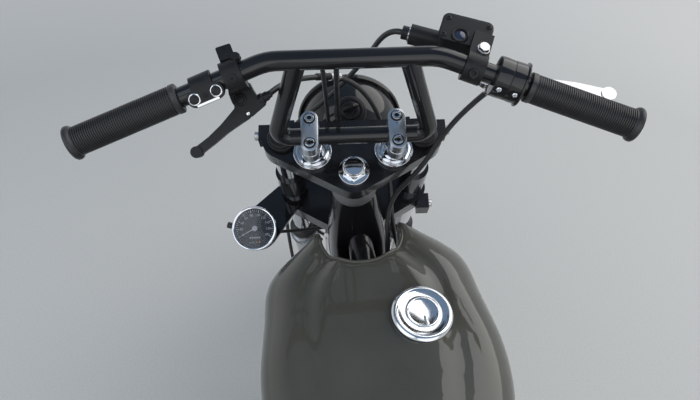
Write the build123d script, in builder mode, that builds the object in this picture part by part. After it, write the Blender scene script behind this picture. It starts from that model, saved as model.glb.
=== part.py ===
"""A cafe racer motorcycle, leaning on its side stand, as an assembly of separate pieces.

Everything is modelled on the upright machine: X forward, Y to the left, Z up, in millimetres, with
the origin on the ground midway between the axles. Pieces that steer are modelled in the steering
frame: origin on the steering axis at the top yoke's upper face, X forward at a right angle to the
axis, Y to the left, Z up along the axis. Wheels are modelled about their own centre, spinning
about Y. At the end each piece is put where the parked machine has it: steered, and leaned over.
"""

import math
import os

from build123d import *

# Stance of the parked machine
LEAN = 7.0                 # degrees to the left, onto the side stand
STEER_TURN = -6.4          # degrees, turned a little to the right
RAKE = 27.0                # steering axis from the vertical
WHEELBASE = 1400.0
ORIGIN_SHIFT = (0.8, -128.1)   # brings the outline box's centre over the origin

# Wheels: outer radius and section radius of the tyre, rim half width
WHEEL_R = 325.0
FRONT_SECTION_R = 46.0
REAR_SECTION_R = 51.0
FRONT_RIM_HALF = 30.0
REAR_RIM_HALF = 40.0
BEAD_R = 229.0
FLANGE_R = 241.0
RIM_WELL_R = 215.0
SPOKE_COUNT = 36
SPOKE_R = 1.9
AXLE_R = 8.0
RUNNING = 0.06             # radial clearance of a hub on its axle

# Steering
FORK_OFFSET = 50.0
FORK_LENGTH = 690.0        # from the top yoke's upper face to the axle, along the axis
FORK_HALF_GAP = 97.0
STANCHION_R = 17.5
SLIDER_R = 25.0
YOKE_THICK = 26.0
STEM_R = 13.0
LOWER_YOKE_TOP = -196.0
HEAD_TUBE_R = 27.0
HEAD_TUBE_TOP = -52.0
HEAD_TUBE_BOTTOM = -188.0

# Handlebar, in the steering frame
BAR_R = 11.1
BAR_TOP = (59.5, 94.6, 177.8)      # bend of the upper tube, left side
BAR_JOIN = (59.5, 61.3, 177.8)     # where the left strut meets the upper tube
BAR_FOOT = (28.3, 99.0, 52.0)      # lower corner, left side
GRIP_START = 0.4497                # how far along the outer run the grip begins
GRIP_OUT = (-17.4, 304.5, 150.8)
RISER_Y = 55.0
SPEEDO_AT = (-28.0, 157.0, -151.0)  # middle of its glass

# Frame tubes
TUBE_R = 14.0
BACKBONE_R = 19.0
CRADLE_Y = 102.0
CRADLE_Z = 214.0
RAIL_Y = 84.0
RAIL_Z = 690.0
UPRIGHT_X = -205.0
PIVOT = (-262.0, 330.0)    # swinging arm pivot, x and z
CHAIN_Y = 74.0
CHAIN_HALF = 7.0
ARM_IN, ARM_OUT = 88.0, 112.0

# Worked out from the above
sin_rake, cos_rake = math.sin(math.radians(RAKE)), math.cos(math.radians(RAKE))
sin_turn, cos_turn = math.sin(math.radians(STEER_TURN)), math.cos(math.radians(STEER_TURN))
sin_lean, cos_lean = math.sin(math.radians(LEAN)), math.cos(math.radians(LEAN))
REAR_AXLE_Z = WHEEL_R - REAR_SECTION_R + REAR_SECTION_R / cos_lean
# The steered front wheel stands at its own tilt, so its axle height comes from where it touches.
wheel_tilt_sine = -cos_turn * sin_lean - sin_turn * sin_rake * cos_lean
front_rise = (WHEEL_R - FRONT_SECTION_R) * math.sqrt(1 - wheel_tilt_sine ** 2) + FRONT_SECTION_R
FRONT_AXLE_Z = ((front_rise + FORK_OFFSET * sin_turn * sin_lean) / cos_lean
                + FORK_OFFSET * sin_rake * (1 - cos_turn))
HEAD_X = WHEELBASE / 2 - FORK_OFFSET * cos_rake - FORK_LENGTH * sin_rake
HEAD_Z = FRONT_AXLE_Z - FORK_OFFSET * sin_rake + FORK_LENGTH * cos_rake
REAR_AXLE = (-WHEELBASE / 2, 0, REAR_AXLE_Z)

# Placements of the parked machine
ROW = Location((*ORIGIN_SHIFT, 0)) * Location((0, 0, 0), (-LEAN, 0, 0))
HEAD_PLANE = Plane(origin=(HEAD_X, 0, HEAD_Z), x_dir=(cos_rake, 0, sin_rake),
                   z_dir=(-sin_rake, 0, cos_rake))
HEAD = ROW * HEAD_PLANE.location
STEERED = HEAD * Location((0, 0, 0), (0, 0, STEER_TURN))
FRONT_WHEEL = STEERED * Location((FORK_OFFSET, 0, -FORK_LENGTH))
REAR_WHEEL = ROW * Location(REAR_AXLE)

os.makedirs("parts", exist_ok=True)


def finish(piece, name, place):
    """Puts a finished piece in its place on the parked machine and writes it."""
    solid = piece.part.moved(place)
    solid.label = name
    export_step(solid, f"parts/{name}.step")


def both(point):
    """A left-hand point and its mirror on the right."""
    x, y, z = point
    return (x, y, z), (x, -y, z)


def rod(start, end, radius):
    """Adds a round bar between two points to the open part."""
    axis = Vector(*end) - Vector(*start)
    with BuildSketch(Plane(origin=start, z_dir=axis)) as section:
        Circle(radius)
    extrude(section.sketch, amount=axis.length)


def bent_tube(points, radii, radius, inner=0.0):
    """Adds a tube along straight runs joined by arcs to the open part."""
    with BuildLine() as route:
        FilletPolyline(*points, radius=radii)
    start = Plane(origin=points[0], z_dir=Vector(*points[1]) - Vector(*points[0]))
    with BuildSketch(start) as section:
        Circle(radius)
        if inner:
            Circle(inner, mode=Mode.SUBTRACT)
    sweep(section.sketch, path=route.wires()[0])


# Wheels

def tyre(section_r, rim_half):
    """A round-section tyre, seated between the rim's flanges."""
    shoulder = rim_half + 1.0
    centre_r = WHEEL_R - section_r
    meet_r = centre_r - math.sqrt(section_r ** 2 - shoulder ** 2)
    seat = rim_half - 4.0
    with BuildPart() as piece:
        with BuildSketch(Plane.YZ):
            with BuildLine():
                Polyline((shoulder, meet_r), (seat, FLANGE_R), (seat, BEAD_R + 0.2),
                         (-seat, BEAD_R + 0.2), (-seat, FLANGE_R), (-shoulder, meet_r))
                ThreePointArc((-shoulder, meet_r), (0, WHEEL_R), (shoulder, meet_r))
            make_face()
        revolve(axis=Axis.Y)
    return piece


def spoked_wheel(rim_half, hub_half, hub_r, flange_y, flange_r, drum=False):
    """Rim, hub and laced spokes as one solid; the rear hub has a brake drum on its right."""
    with BuildPart() as piece:
        with BuildSketch(Plane.YZ):
            with BuildLine():
                Polyline((-rim_half, FLANGE_R), (3.5 - rim_half, FLANGE_R), (3.5 - rim_half, BEAD_R),
                         (rim_half - 3.5, BEAD_R), (rim_half - 3.5, FLANGE_R), (rim_half, FLANGE_R),
                         (rim_half, BEAD_R - 3), (rim_half / 2, RIM_WELL_R),
                         (-rim_half / 2, RIM_WELL_R), (-rim_half, BEAD_R - 3), close=True)
            make_face()
        revolve(axis=Axis.Y)
        with BuildSketch(Plane.YZ):
            with BuildLine():
                Polyline((-hub_half, 14), (-flange_y - 4, hub_r), (-flange_y - 4, flange_r + 6),
                         (-flange_y + 4, flange_r + 6), (-flange_y + 8, hub_r),
                         (flange_y - 8, hub_r), (flange_y - 4, flange_r + 6),
                         (flange_y + 4, flange_r + 6), (flange_y + 4, hub_r), (hub_half, 14),
                         (hub_half, AXLE_R + RUNNING), (-hub_half, AXLE_R + RUNNING), close=True)
            make_face()
        revolve(axis=Axis.Y)
        if drum:
            with BuildSketch(Plane.XZ.offset(flange_y)):
                Circle(flange_r)
                Circle(14, mode=Mode.SUBTRACT)
            extrude(amount=hub_half - flange_y)
        step = 360.0 / SPOKE_COUNT
        for number in range(SPOKE_COUNT):
            side = 1 if number % 2 else -1
            lead = 52.0 if number % 4 < 2 else -52.0
            rim_angle = math.radians(number * step)
            hub_angle = rim_angle + math.radians(lead)
            rod((flange_r * math.cos(hub_angle), side * flange_y, flange_r * math.sin(hub_angle)),
                ((RIM_WELL_R + 2) * math.cos(rim_angle), side * 7.0,
                 (RIM_WELL_R + 2) * math.sin(rim_angle)), SPOKE_R)
    return piece


finish(tyre(FRONT_SECTION_R, FRONT_RIM_HALF), "front_tyre", FRONT_WHEEL)
finish(tyre(REAR_SECTION_R, REAR_RIM_HALF), "rear_tyre", REAR_WHEEL)
finish(spoked_wheel(FRONT_RIM_HALF, 62.0, 30.0, 36.0, 40.0), "front_wheel", FRONT_WHEEL)
finish(spoked_wheel(REAR_RIM_HALF, 66.0, 46.0, 40.0, 62.0, drum=True), "rear_wheel", REAR_WHEEL)

DISC_Y, DISC_R, DISC_THICK = 54.0, 138.0, 5.0
with BuildPart() as brake_disc:
    with BuildSketch(Plane.XZ.offset(-DISC_Y - DISC_THICK / 2)):
        Circle(DISC_R)
        Circle(31.0, mode=Mode.SUBTRACT)
        with PolarLocations(70, 6):
            Circle(16, mode=Mode.SUBTRACT)
        for ring_r in (112, 124):
            with PolarLocations(ring_r, 18, start_angle=ring_r):
                Circle(3.5, mode=Mode.SUBTRACT)
    extrude(amount=DISC_THICK)
finish(brake_disc, "front_brake_disc", FRONT_WHEEL)

SPROCKET_TEETH, SPROCKET_R, SPROCKET_THICK = 42, 82.0, 6.0
with BuildPart() as rear_sprocket:
    with BuildSketch(Plane.XZ.offset(-CHAIN_Y - SPROCKET_THICK / 2)):
        Circle(SPROCKET_R - 6)
        with PolarLocations(SPROCKET_R - 4, SPROCKET_TEETH):
            Trapezoid(8, 7.0, 62, rotation=-90)
        Circle(38, mode=Mode.SUBTRACT)
        with PolarLocations(58, 6):
            Circle(9, mode=Mode.SUBTRACT)
    extrude(amount=SPROCKET_THICK)
finish(rear_sprocket, "rear_sprocket", REAR_WHEEL)

# Steering: yokes, fork legs, nut

with BuildPart() as top_yoke:
    with BuildSketch(Plane.XY.offset(-YOKE_THICK)):
        Circle(30)
        with Locations((FORK_OFFSET, FORK_HALF_GAP), (FORK_OFFSET, -FORK_HALF_GAP)):
            Circle(27)
        make_hull()
        with Locations((FORK_OFFSET, FORK_HALF_GAP), (FORK_OFFSET, -FORK_HALF_GAP)):
            Circle(STANCHION_R, mode=Mode.SUBTRACT)
        Circle(STEM_R, mode=Mode.SUBTRACT)
    extrude(amount=YOKE_THICK)
    with Locations(*both((FORK_OFFSET + 14, FORK_HALF_GAP + 24, -YOKE_THICK / 2))):
        Box(24, 18, 20)
    with Locations(*both((FORK_OFFSET, FORK_HALF_GAP, -YOKE_THICK / 2))):
        Cylinder(STANCHION_R, YOKE_THICK, mode=Mode.SUBTRACT)
finish(top_yoke, "top_yoke", STEERED)

with BuildPart() as bottom_yoke:
    with BuildSketch(Plane.XY.offset(LOWER_YOKE_TOP - 38)):
        Circle(32)
        with Locations((FORK_OFFSET, FORK_HALF_GAP), (FORK_OFFSET, -FORK_HALF_GAP)):
            Circle(27)
        make_hull()
        with Locations((FORK_OFFSET, FORK_HALF_GAP), (FORK_OFFSET, -FORK_HALF_GAP)):
            Circle(STANCHION_R, mode=Mode.SUBTRACT)
    extrude(amount=38)
    with BuildSketch(Plane.XY.offset(LOWER_YOKE_TOP)):
        Circle(STEM_R)
    extrude(amount=2 - LOWER_YOKE_TOP)
    with BuildSketch(Plane.XY.offset(LOWER_YOKE_TOP - 38)):
        Circle(8)
    extrude(amount=40, mode=Mode.SUBTRACT)
    with Locations(*both((FORK_OFFSET - 24, FORK_HALF_GAP + 22, LOWER_YOKE_TOP - 19))):
        Box(26, 20, 30)
    with Locations(*both((FORK_OFFSET, FORK_HALF_GAP, LOWER_YOKE_TOP - 19))):
        Cylinder(STANCHION_R, 40, mode=Mode.SUBTRACT)
finish(bottom_yoke, "bottom_yoke", STEERED)

with BuildPart() as stem_nuts:
    with BuildSketch(Plane.XY):
        Circle(21)
        Circle(STEM_R, mode=Mode.SUBTRACT)
    extrude(amount=2)
    with BuildSketch(Plane.XY.offset(2)):
        Circle(21)
    extrude(amount=4)
    with BuildSketch(Plane.XY.offset(6)):
        RegularPolygon(17, 6)
    extrude(amount=12)
    with BuildSketch(Plane.XY.offset(18)):
        Circle(14)
    extrude(amount=5)
    fillet(stem_nuts.edges().group_by(Axis.Z)[-1], 3)
    with BuildSketch(Plane.XZ):
        Polygon((STEM_R, -28), (24, -28), (33, -44), (33, -50), (28, -50), (28, -46), (STEM_R, -40),
                align=None)
    revolve(axis=Axis.Z)
finish(stem_nuts, "stem_nuts", STEERED)

with BuildPart() as fork_tubes:
    with BuildSketch(Plane.XY.offset(-430)):
        with Locations((FORK_OFFSET, FORK_HALF_GAP), (FORK_OFFSET, -FORK_HALF_GAP)):
            Circle(STANCHION_R)
    extrude(amount=436)
    chamfer(fork_tubes.edges().group_by(Axis.Z)[-1], 2)
finish(fork_tubes, "fork_tubes", STEERED)

SLIDER_TOP = -400.0
with BuildPart() as fork_sliders:
    for side in (1, -1):
        with BuildSketch(Plane.XZ.offset(-side * FORK_HALF_GAP)):
            with BuildLine():
                Polyline((FORK_OFFSET, -665), (FORK_OFFSET + 22, -665), (FORK_OFFSET + SLIDER_R, -640),
                         (FORK_OFFSET + SLIDER_R, SLIDER_TOP - 10),
                         (FORK_OFFSET + SLIDER_R - 4, SLIDER_TOP),
                         (FORK_OFFSET, SLIDER_TOP), close=True)
            make_face()
        revolve(axis=Axis((FORK_OFFSET, side * FORK_HALF_GAP, 0), (0, 0, 1)))
    with Locations(*both((FORK_OFFSET, FORK_HALF_GAP, -676))):
        Box(34, 30, 60)
    with Locations((FORK_OFFSET, 0, -FORK_LENGTH)):
        Cylinder(AXLE_R + RUNNING, 300, rotation=(90, 0, 0), mode=Mode.SUBTRACT)
    with Locations(*both((FORK_OFFSET, FORK_HALF_GAP, -425))):
        Cylinder(STANCHION_R + 0.05, 60, mode=Mode.SUBTRACT)
finish(fork_sliders, "fork_sliders", STEERED)

with BuildPart() as front_axle:
    with Locations((FORK_OFFSET, 0, -FORK_LENGTH)):
        Cylinder(AXLE_R, 232, rotation=(90, 0, 0))
    with Locations(*both((FORK_OFFSET, 117, -FORK_LENGTH))):
        Cylinder(14, 9, rotation=(90, 0, 0))
    with Locations(*both((FORK_OFFSET, 72, -FORK_LENGTH))):
        Cylinder(12, 18, rotation=(90, 0, 0))
    with Locations((FORK_OFFSET, -70.5, -FORK_LENGTH)):
        Cylinder(23, 13, rotation=(90, 0, 0))
finish(front_axle, "front_axle", STEERED)

# Handlebar and its clamps

with BuildPart() as handlebar:
    left_end, right_end = both(GRIP_OUT)
    left_bend, right_bend = both(BAR_TOP)
    bent_tube([left_end, left_bend, right_bend, right_end], (70, 70), BAR_R)
    left_join, right_join = both(BAR_JOIN)
    left_foot, right_foot = both(BAR_FOOT)
    bent_tube([left_join, left_foot, right_foot, right_join], (15, 15), BAR_R)
finish(handlebar, "handlebar", STEERED)

CLAMP_HALF, CLAMP_END_R, CLAMP_BOLT = 17.0, 11.0, 17.0
with BuildPart() as bar_clamps:
    for side in (1, -1):
        at = (BAR_FOOT[0], side * RISER_Y)
        with BuildSketch(Plane.XY):
            with Locations(at):
                Circle(26)
        extrude(amount=7)
        with BuildSketch(Plane.XY.offset(7)):
            with Locations(at):
                Circle(14)
        extrude(amount=28)
        with BuildSketch(Plane.XY.offset(34)):
            with Locations(at):
                SlotCenterToCenter(2 * CLAMP_HALF, 2 * CLAMP_END_R)
        extrude(amount=36)
    with Locations((BAR_FOOT[0], 0, BAR_FOOT[2])):
        Cylinder(BAR_R + 0.02, 200, rotation=(90, 0, 0), mode=Mode.SUBTRACT)
    for side in (1, -1):
        with Locations((BAR_FOOT[0] + CLAMP_BOLT, side * RISER_Y, 70),
                       (BAR_FOOT[0] - CLAMP_BOLT, side * RISER_Y, 70)):
            Cylinder(6.5, 6, mode=Mode.SUBTRACT)
            Cylinder(5.5, 6)
finish(bar_clamps, "bar_clamps", STEERED)

GRIP_LENGTH = 124.0


def bar_plane(side, along):
    """A plane on the handlebar's outer run, Z outwards; along is 0 at the bend and 1 at the end."""
    bend = Vector(BAR_TOP[0], side * BAR_TOP[1], BAR_TOP[2])
    outward = Vector(GRIP_OUT[0], side * GRIP_OUT[1], GRIP_OUT[2]) - bend
    return Plane(origin=bend + outward * along, x_dir=Vector(0, 0, 1).cross(outward) * -side,
                 z_dir=outward)


with BuildPart() as grips:
    for side in (1, -1):
        start = bar_plane(side, GRIP_START)
        with BuildSketch(start):
            Circle(16.3)
        extrude(amount=GRIP_LENGTH)
        with BuildSketch(start, start.offset(GRIP_LENGTH)):
            Circle(19.5)
        extrude(amount=4)
        with BuildSketch(start):
            Circle(BAR_R + 0.05)
        extrude(amount=(1 - GRIP_START) * 225.2, mode=Mode.SUBTRACT)
finish(grips, "grips", STEERED)

# Controls on the handlebar

# The clutch perch's face, seen square on from the saddle: X outwards along the bar, Y to the rider
PERCH_FACE = Plane(origin=(39, 130, 133), x_dir=(0, 1, 0), z_dir=(-0.45, 0.05, 0.89))
PERCH_UNDER = -9.0                         # the plate's underside, below its face
with BuildPart() as clutch_perch:
    clamp = bar_plane(1, 0.175)
    with BuildSketch(clamp.offset(-10)):
        Circle(17)
        Polygon((-15, 6), (15, 6), (14, 38), (0, 38), align=None)
    extrude(amount=20)
    with BuildSketch(Plane(origin=(67, 138, 156), x_dir=(0.94, 0.34, 0), z_dir=(0, 0, 1))):
        RectangleRounded(18, 17, 2)
    extrude(amount=30)
    rod((56, 128, 166), (60, 127, 186), 5)
    with BuildSketch(PERCH_FACE.offset(PERCH_UNDER)):
        Polygon((14, -15), (13, -6), (10, 3), (5, 11), (-11, 20), (-29, 6), (-20, -2), (-15, -10),
                (-11, -19), align=None)
        fillet(vertices(), 1.8)
    extrude(amount=-PERCH_UNDER)
    rod(PERCH_FACE.from_local_coords((0, 0, -22)), PERCH_FACE.from_local_coords((0, 0, -2)), 4)
    rod(PERCH_FACE.from_local_coords((0, 0, -23)), PERCH_FACE.from_local_coords((0, 0, -19)), 7)
    rod(PERCH_FACE.from_local_coords((-20, 2, -5)), PERCH_FACE.from_local_coords((-31, -4, -5)), 5.5)
    with BuildSketch(PERCH_FACE):
        Circle(7.6)
    extrude(amount=-2.5, mode=Mode.SUBTRACT)
    with BuildSketch(clamp.offset(-20)):
        Circle(BAR_R + 0.05)
    extrude(amount=40, mode=Mode.SUBTRACT)
finish(clutch_perch, "clutch_perch", STEERED)


def blade(lie, thick, stations, knob_r):
    """Adds a flat hand lever, from stations of x, y and half width on its plane, with a ball end."""
    for first, second in zip(stations, stations[1:]):
        with BuildSketch(lie) as outline:
            for centre_x, centre_y, half_width in (first, second):
                with Locations((centre_x, centre_y)):
                    Circle(half_width)
            make_hull()
        extrude(outline.sketch, amount=thick)
    with BuildSketch(lie.offset(thick / 2 - 6)) as knob:
        with Locations(stations[-1][:2]):
            Circle(knob_r)
    extrude(knob.sketch, amount=12)


with BuildPart() as clutch_lever:
    blade(PERCH_FACE.offset(PERCH_UNDER - 9), 8.9,
          ((0, 0, 9), (0, 14, 10), (22.5, 32.5, 6.2), (39, 46, 5.4), (57.5, 59, 5.4)), 7)
    with BuildSketch(PERCH_FACE.offset(PERCH_UNDER - 20)):
        Circle(4.05)
    extrude(amount=20, mode=Mode.SUBTRACT)
    with BuildSketch(PERCH_FACE.offset(PERCH_UNDER - 20)):
        Circle(7.1)
    extrude(amount=10.1, mode=Mode.SUBTRACT)
finish(clutch_lever, "clutch_lever", STEERED)

with BuildPart() as switch_block:
    clamp = bar_plane(1, 0.325)
    with BuildSketch(clamp.offset(-12)):
        Circle(15.5)
    extrude(amount=24)
    switch_up = Vector(-0.547, -0.093, 0.832)
    switch_centre = clamp.origin + switch_up * 16 + switch_up.cross(clamp.z_dir) * 8
    switch_face = Plane(origin=switch_centre, x_dir=clamp.z_dir, z_dir=switch_up)
    with BuildSketch(switch_face):
        SlotOverall(41, 19)
    extrude(amount=-16)
    with BuildSketch(switch_face):
        with Locations((-12.4, 0), (12.4, 0)):
            Circle(5.3)
    extrude(amount=3)
    with BuildSketch(clamp.offset(-30)):
        Circle(BAR_R + 0.05)
    extrude(amount=60, mode=Mode.SUBTRACT)
finish(switch_block, "switch_block", STEERED)

with BuildPart() as brake_master:
    clamp = bar_plane(-1, 0.175)
    with BuildSketch(clamp.offset(-11)):
        Circle(17)
        with Locations((20, 0)):
            Rectangle(40, 22)
    extrude(amount=22)
    body = Plane(origin=(92, -128, 136), x_dir=(-0.34, -0.94, 0), z_dir=(0.05, 0, 1))
    with BuildSketch(body):
        RectangleRounded(56, 34, 8)
    extrude(amount=34)
    with BuildSketch(body.offset(34)):
        RectangleRounded(58, 36, 8)
    extrude(amount=5)
    rod((116, -70, 140), (84, -160, 140), 12)
    rod((115, -72, 140), (119, -61, 140), 8)
    with BuildSketch(clamp.offset(-20)):
        Circle(BAR_R + 0.05)
    extrude(amount=40, mode=Mode.SUBTRACT)
finish(brake_master, "brake_master", STEERED)

with BuildPart() as brake_lever:
    brake_reach = Vector(-0.21, -0.977, 0)
    blade(Plane(origin=(64, -160, 115), x_dir=brake_reach, z_dir=(0, 0, 1)), 9,
          ((0, 0, 11), (18, -2, 9), (64, 3, 7), (104, 5, 6), (142, 2, 6)), 8.5)
finish(brake_lever, "brake_lever", STEERED)

with BuildPart() as throttle_housing:
    clamp = bar_plane(-1, 0.355)
    with BuildSketch(clamp.offset(-15)):
        Circle(22)
    extrude(amount=30)
    rod((38, -172, 160), (44, -160, 128), 7)
    with BuildSketch(clamp.offset(-30)):
        Circle(BAR_R + 0.05)
    extrude(amount=60, mode=Mode.SUBTRACT)
finish(throttle_housing, "throttle_housing", STEERED)

# Headlamp, its brackets, speedometer

LAMP_PLANE = Plane(origin=(156, 0, -155), x_dir=(0, 1, 0), z_dir=(cos_rake, 0, -sin_rake))
LAMP_R = 80.0
with BuildPart() as headlamp_bowl:
    with BuildSketch(Plane.XZ):
        with BuildLine():
            Polyline((0, -LAMP_R), (0, 0), (LAMP_R, 0))
            CenterArc((0, 0), LAMP_R, -90, 90)
        make_face()
    revolve(axis=Axis.Z)
    with BuildSketch(Plane(origin=(0, 0, 0), z_dir=(0, 0.72, -0.7)).offset(LAMP_R - 10)):
        Circle(21)
    extrude(amount=18)
    with Locations((LAMP_R, 0, -12), (-LAMP_R, 0, -12)):
        Cylinder(9, 8, rotation=(0, 90, 0))
lamp_place = STEERED * Plane(origin=LAMP_PLANE.origin, x_dir=(0, -1, 0), z_dir=LAMP_PLANE.z_dir).location
finish(headlamp_bowl, "headlamp_bowl", lamp_place)

LENS_R = ((LAMP_R - 6) ** 2 + 16 ** 2) / 32       # the glass is part of a ball
lens_mid = LAMP_R / 2
with BuildPart() as headlamp_rim:
    with BuildSketch(Plane.XZ):
        with BuildLine():
            Polyline((0, 0), (LAMP_R + 5, 0), (LAMP_R + 7, 4), (LAMP_R + 6, 10), (LAMP_R - 2, 14),
                     (LAMP_R - 6, 12))
            ThreePointArc((LAMP_R - 6, 12), (lens_mid, 28 - LENS_R + math.sqrt(LENS_R ** 2 - lens_mid ** 2)),
                          (0, 28))
            Line((0, 28), (0, 0))
        make_face()
    revolve(axis=Axis.Z)
finish(headlamp_rim, "headlamp_rim", lamp_place)

with BuildPart() as lamp_brackets:
    for side in (1, -1):
        with Locations((FORK_OFFSET, side * FORK_HALF_GAP, -140)):
            Cylinder(22, 60)
        with BuildSketch(Plane.XZ.offset(-side * (FORK_HALF_GAP - 1))):
            Polygon((60, -118), (154, -140), (154, -166), (60, -160), align=None)
        extrude(amount=4, both=True)
        rod((145, side * 85, -149.5), (145, side * 96, -149.5), 8)
        with Locations((FORK_OFFSET, side * FORK_HALF_GAP, -140)):
            Cylinder(STANCHION_R, 60, mode=Mode.SUBTRACT)
finish(lamp_brackets, "lamp_brackets", STEERED)

SPEEDO = Plane(origin=SPEEDO_AT, x_dir=(0, 1, 0), z_dir=(-0.234, 0, 0.972))
with BuildPart() as speedometer:
    with BuildSketch(SPEEDO.offset(-46)):
        Circle(28)
    extrude(amount=40)
    with BuildSketch(SPEEDO.offset(-12)):
        Circle(32.5)
    extrude(amount=12)
    fillet(speedometer.edges().group_by(Axis.Z)[-1], 2)
    with BuildSketch(SPEEDO.offset(-62)):
        Circle(8)
    extrude(amount=17)
finish(speedometer, "speedometer", STEERED)

with BuildPart() as speedo_bracket:
    with BuildSketch(Plane.XY.offset(LOWER_YOKE_TOP)):
        with Locations((FORK_OFFSET, FORK_HALF_GAP)):
            Circle(23)
        with Locations((SPEEDO_AT[0] + 10, SPEEDO_AT[1])):
            Circle(34)
        make_hull()
        with Locations((FORK_OFFSET, FORK_HALF_GAP)):
            Circle(STANCHION_R, mode=Mode.SUBTRACT)
    extrude(amount=5)
    add(speedometer.part, mode=Mode.SUBTRACT)
    add(bottom_yoke.part, mode=Mode.SUBTRACT)
finish(speedo_bracket, "speedo_bracket", STEERED)

# Front mudguard, brake caliper

MUDGUARD_R = 343.0
AXLE_POINT = (FORK_OFFSET, 0, -FORK_LENGTH)
guard_start = math.radians(90 + 58)
with BuildPart() as front_mudguard:
    with BuildSketch(Plane(origin=AXLE_POINT, x_dir=(0, 1, 0),
                           z_dir=(math.sin(guard_start), 0, -math.cos(guard_start)))):
        with BuildLine():
            Polyline((-50, MUDGUARD_R - 26), (-52.5, MUDGUARD_R - 26))
            ThreePointArc((-52.5, MUDGUARD_R - 26), (0, MUDGUARD_R + 2.5), (52.5, MUDGUARD_R - 26))
            Line((52.5, MUDGUARD_R - 26), (50, MUDGUARD_R - 26))
            ThreePointArc((50, MUDGUARD_R - 26), (0, MUDGUARD_R), (-50, MUDGUARD_R - 26))
        make_face()
    revolve(axis=Axis(AXLE_POINT, (0, 1, 0)), revolution_arc=110)
    for foot_x in (FORK_OFFSET - 30, FORK_OFFSET + 24):
        for side in (1, -1):
            rod((foot_x, side * 51.5, -368), (FORK_OFFSET, side * 74, -426), 4)
    with Locations(*both((FORK_OFFSET, FORK_HALF_GAP, -430))):
        Cylinder(SLIDER_R + 4, 14)
        Cylinder(SLIDER_R, 60, mode=Mode.SUBTRACT)
finish(front_mudguard, "front_mudguard", STEERED)

with BuildPart() as brake_caliper:
    with BuildSketch(Plane.XZ.offset(-DISC_Y - 22)):
        with Locations(Location((-62, -622, 0), (0, 0, 30))):
            RectangleRounded(56, 92, 14)
    extrude(amount=44)
    with BuildSketch(Plane.XZ.offset(-DISC_Y - 6)):
        with Locations((FORK_OFFSET, -FORK_LENGTH)):
            Circle(DISC_R + 5)
    extrude(amount=12, mode=Mode.SUBTRACT)
    with Locations((FORK_OFFSET, FORK_HALF_GAP, -560)):
        Cylinder(SLIDER_R, 300, mode=Mode.SUBTRACT)
    rod((-40, 76, -622), (26, 96, -622), 9)
    with Locations((FORK_OFFSET, FORK_HALF_GAP, -560)):
        Cylinder(SLIDER_R, 300, mode=Mode.SUBTRACT)
finish(brake_caliper, "brake_caliper", STEERED)

# Welded frame

DOWN_TOP = (404.0, 19.0, 786.0)
DOWN_BOTTOM = (196.0, 93.0, 262.0)
BACKBONE_FRONT, BACKBONE_REAR = (404.0, 0.0, 795.0), (-320.0, 0.0, 660.0)
head_tube_top = HEAD_PLANE.from_local_coords((0, 0, HEAD_TUBE_TOP))
head_tube_bottom = HEAD_PLANE.from_local_coords((0, 0, HEAD_TUBE_BOTTOM))
head_tube_axis = Plane(origin=head_tube_bottom, z_dir=HEAD_PLANE.z_dir)
HEAD_TUBE_LENGTH = HEAD_TUBE_TOP - HEAD_TUBE_BOTTOM

with BuildPart() as head_frame:
    rod(head_tube_bottom, head_tube_top, HEAD_TUBE_R)
    rod(BACKBONE_FRONT, BACKBONE_REAR, BACKBONE_R)
    with BuildSketch(Plane.XZ):
        Polygon((405, 792), (414, 745), (352, 726), (240, 770), align=None)
    extrude(amount=9, both=True)
    with BuildSketch(head_tube_axis.offset(-40)):
        Circle(STEM_R + 1.0)
    extrude(amount=HEAD_TUBE_LENGTH + 80, mode=Mode.SUBTRACT)
finish(head_frame, "head_frame", ROW)

# Side stand: where it turns and where it stands, foot flat on the floor of the leaning machine
STAND_PIVOT = Vector(-60, 128, 190)
STAND_FOOT = Vector(10, 236, 236 * sin_lean / cos_lean)
stand_down = (STAND_FOOT - STAND_PIVOT).normalized()
stand_back = Vector(-1, 0.12, 0.06).normalized()
stand_axis = stand_down.cross(stand_back).normalized()
stand_plane = Plane(origin=STAND_PIVOT, x_dir=stand_down, z_dir=stand_axis)
floor_plane = Plane(origin=STAND_FOOT, x_dir=(1, 0, 0), z_dir=(0, -sin_lean, cos_lean))
LUG_ROOT = stand_plane.to_local_coords(Vector(-60, CRADLE_Y, CRADLE_Z))

with BuildPart() as cradle:
    for top, bottom in zip(both(DOWN_TOP), both(DOWN_BOTTOM)):
        rod(top, bottom, TUBE_R)
    with BuildSketch(head_tube_axis.offset(-40)):
        Circle(HEAD_TUBE_R)
    extrude(amount=HEAD_TUBE_LENGTH + 80, mode=Mode.SUBTRACT)
    for side in (1, -1):
        down = Vector(DOWN_BOTTOM[0], side * DOWN_BOTTOM[1], DOWN_BOTTOM[2])
        above = Vector(DOWN_TOP[0], side * DOWN_TOP[1], DOWN_TOP[2])
        start = down + (above - down) * 0.02
        bend = down + (down - above) * 0.085
        rear_bend = Vector(UPRIGHT_X, side * CRADLE_Y, CRADLE_Z)
        bent_tube([start, bend, rear_bend, (UPRIGHT_X, side * CRADLE_Y, 290)], (38, 60), TUBE_R)
    for cross_x in (150, -150):
        rod((cross_x, -CRADLE_Y, CRADLE_Z), (cross_x, CRADLE_Y, CRADLE_Z), 11)
    for gap in (-11, 6):
        with BuildSketch(stand_plane.offset(gap)):
            Circle(15)
            with Locations((LUG_ROOT.X, LUG_ROOT.Y)):
                Circle(13)
            make_hull()
        extrude(amount=5)
    with BuildSketch(stand_plane.offset(-14)):
        Circle(6)
    extrude(amount=28)
    add(head_frame.part, mode=Mode.SUBTRACT)
finish(cradle, "cradle", ROW)

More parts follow.
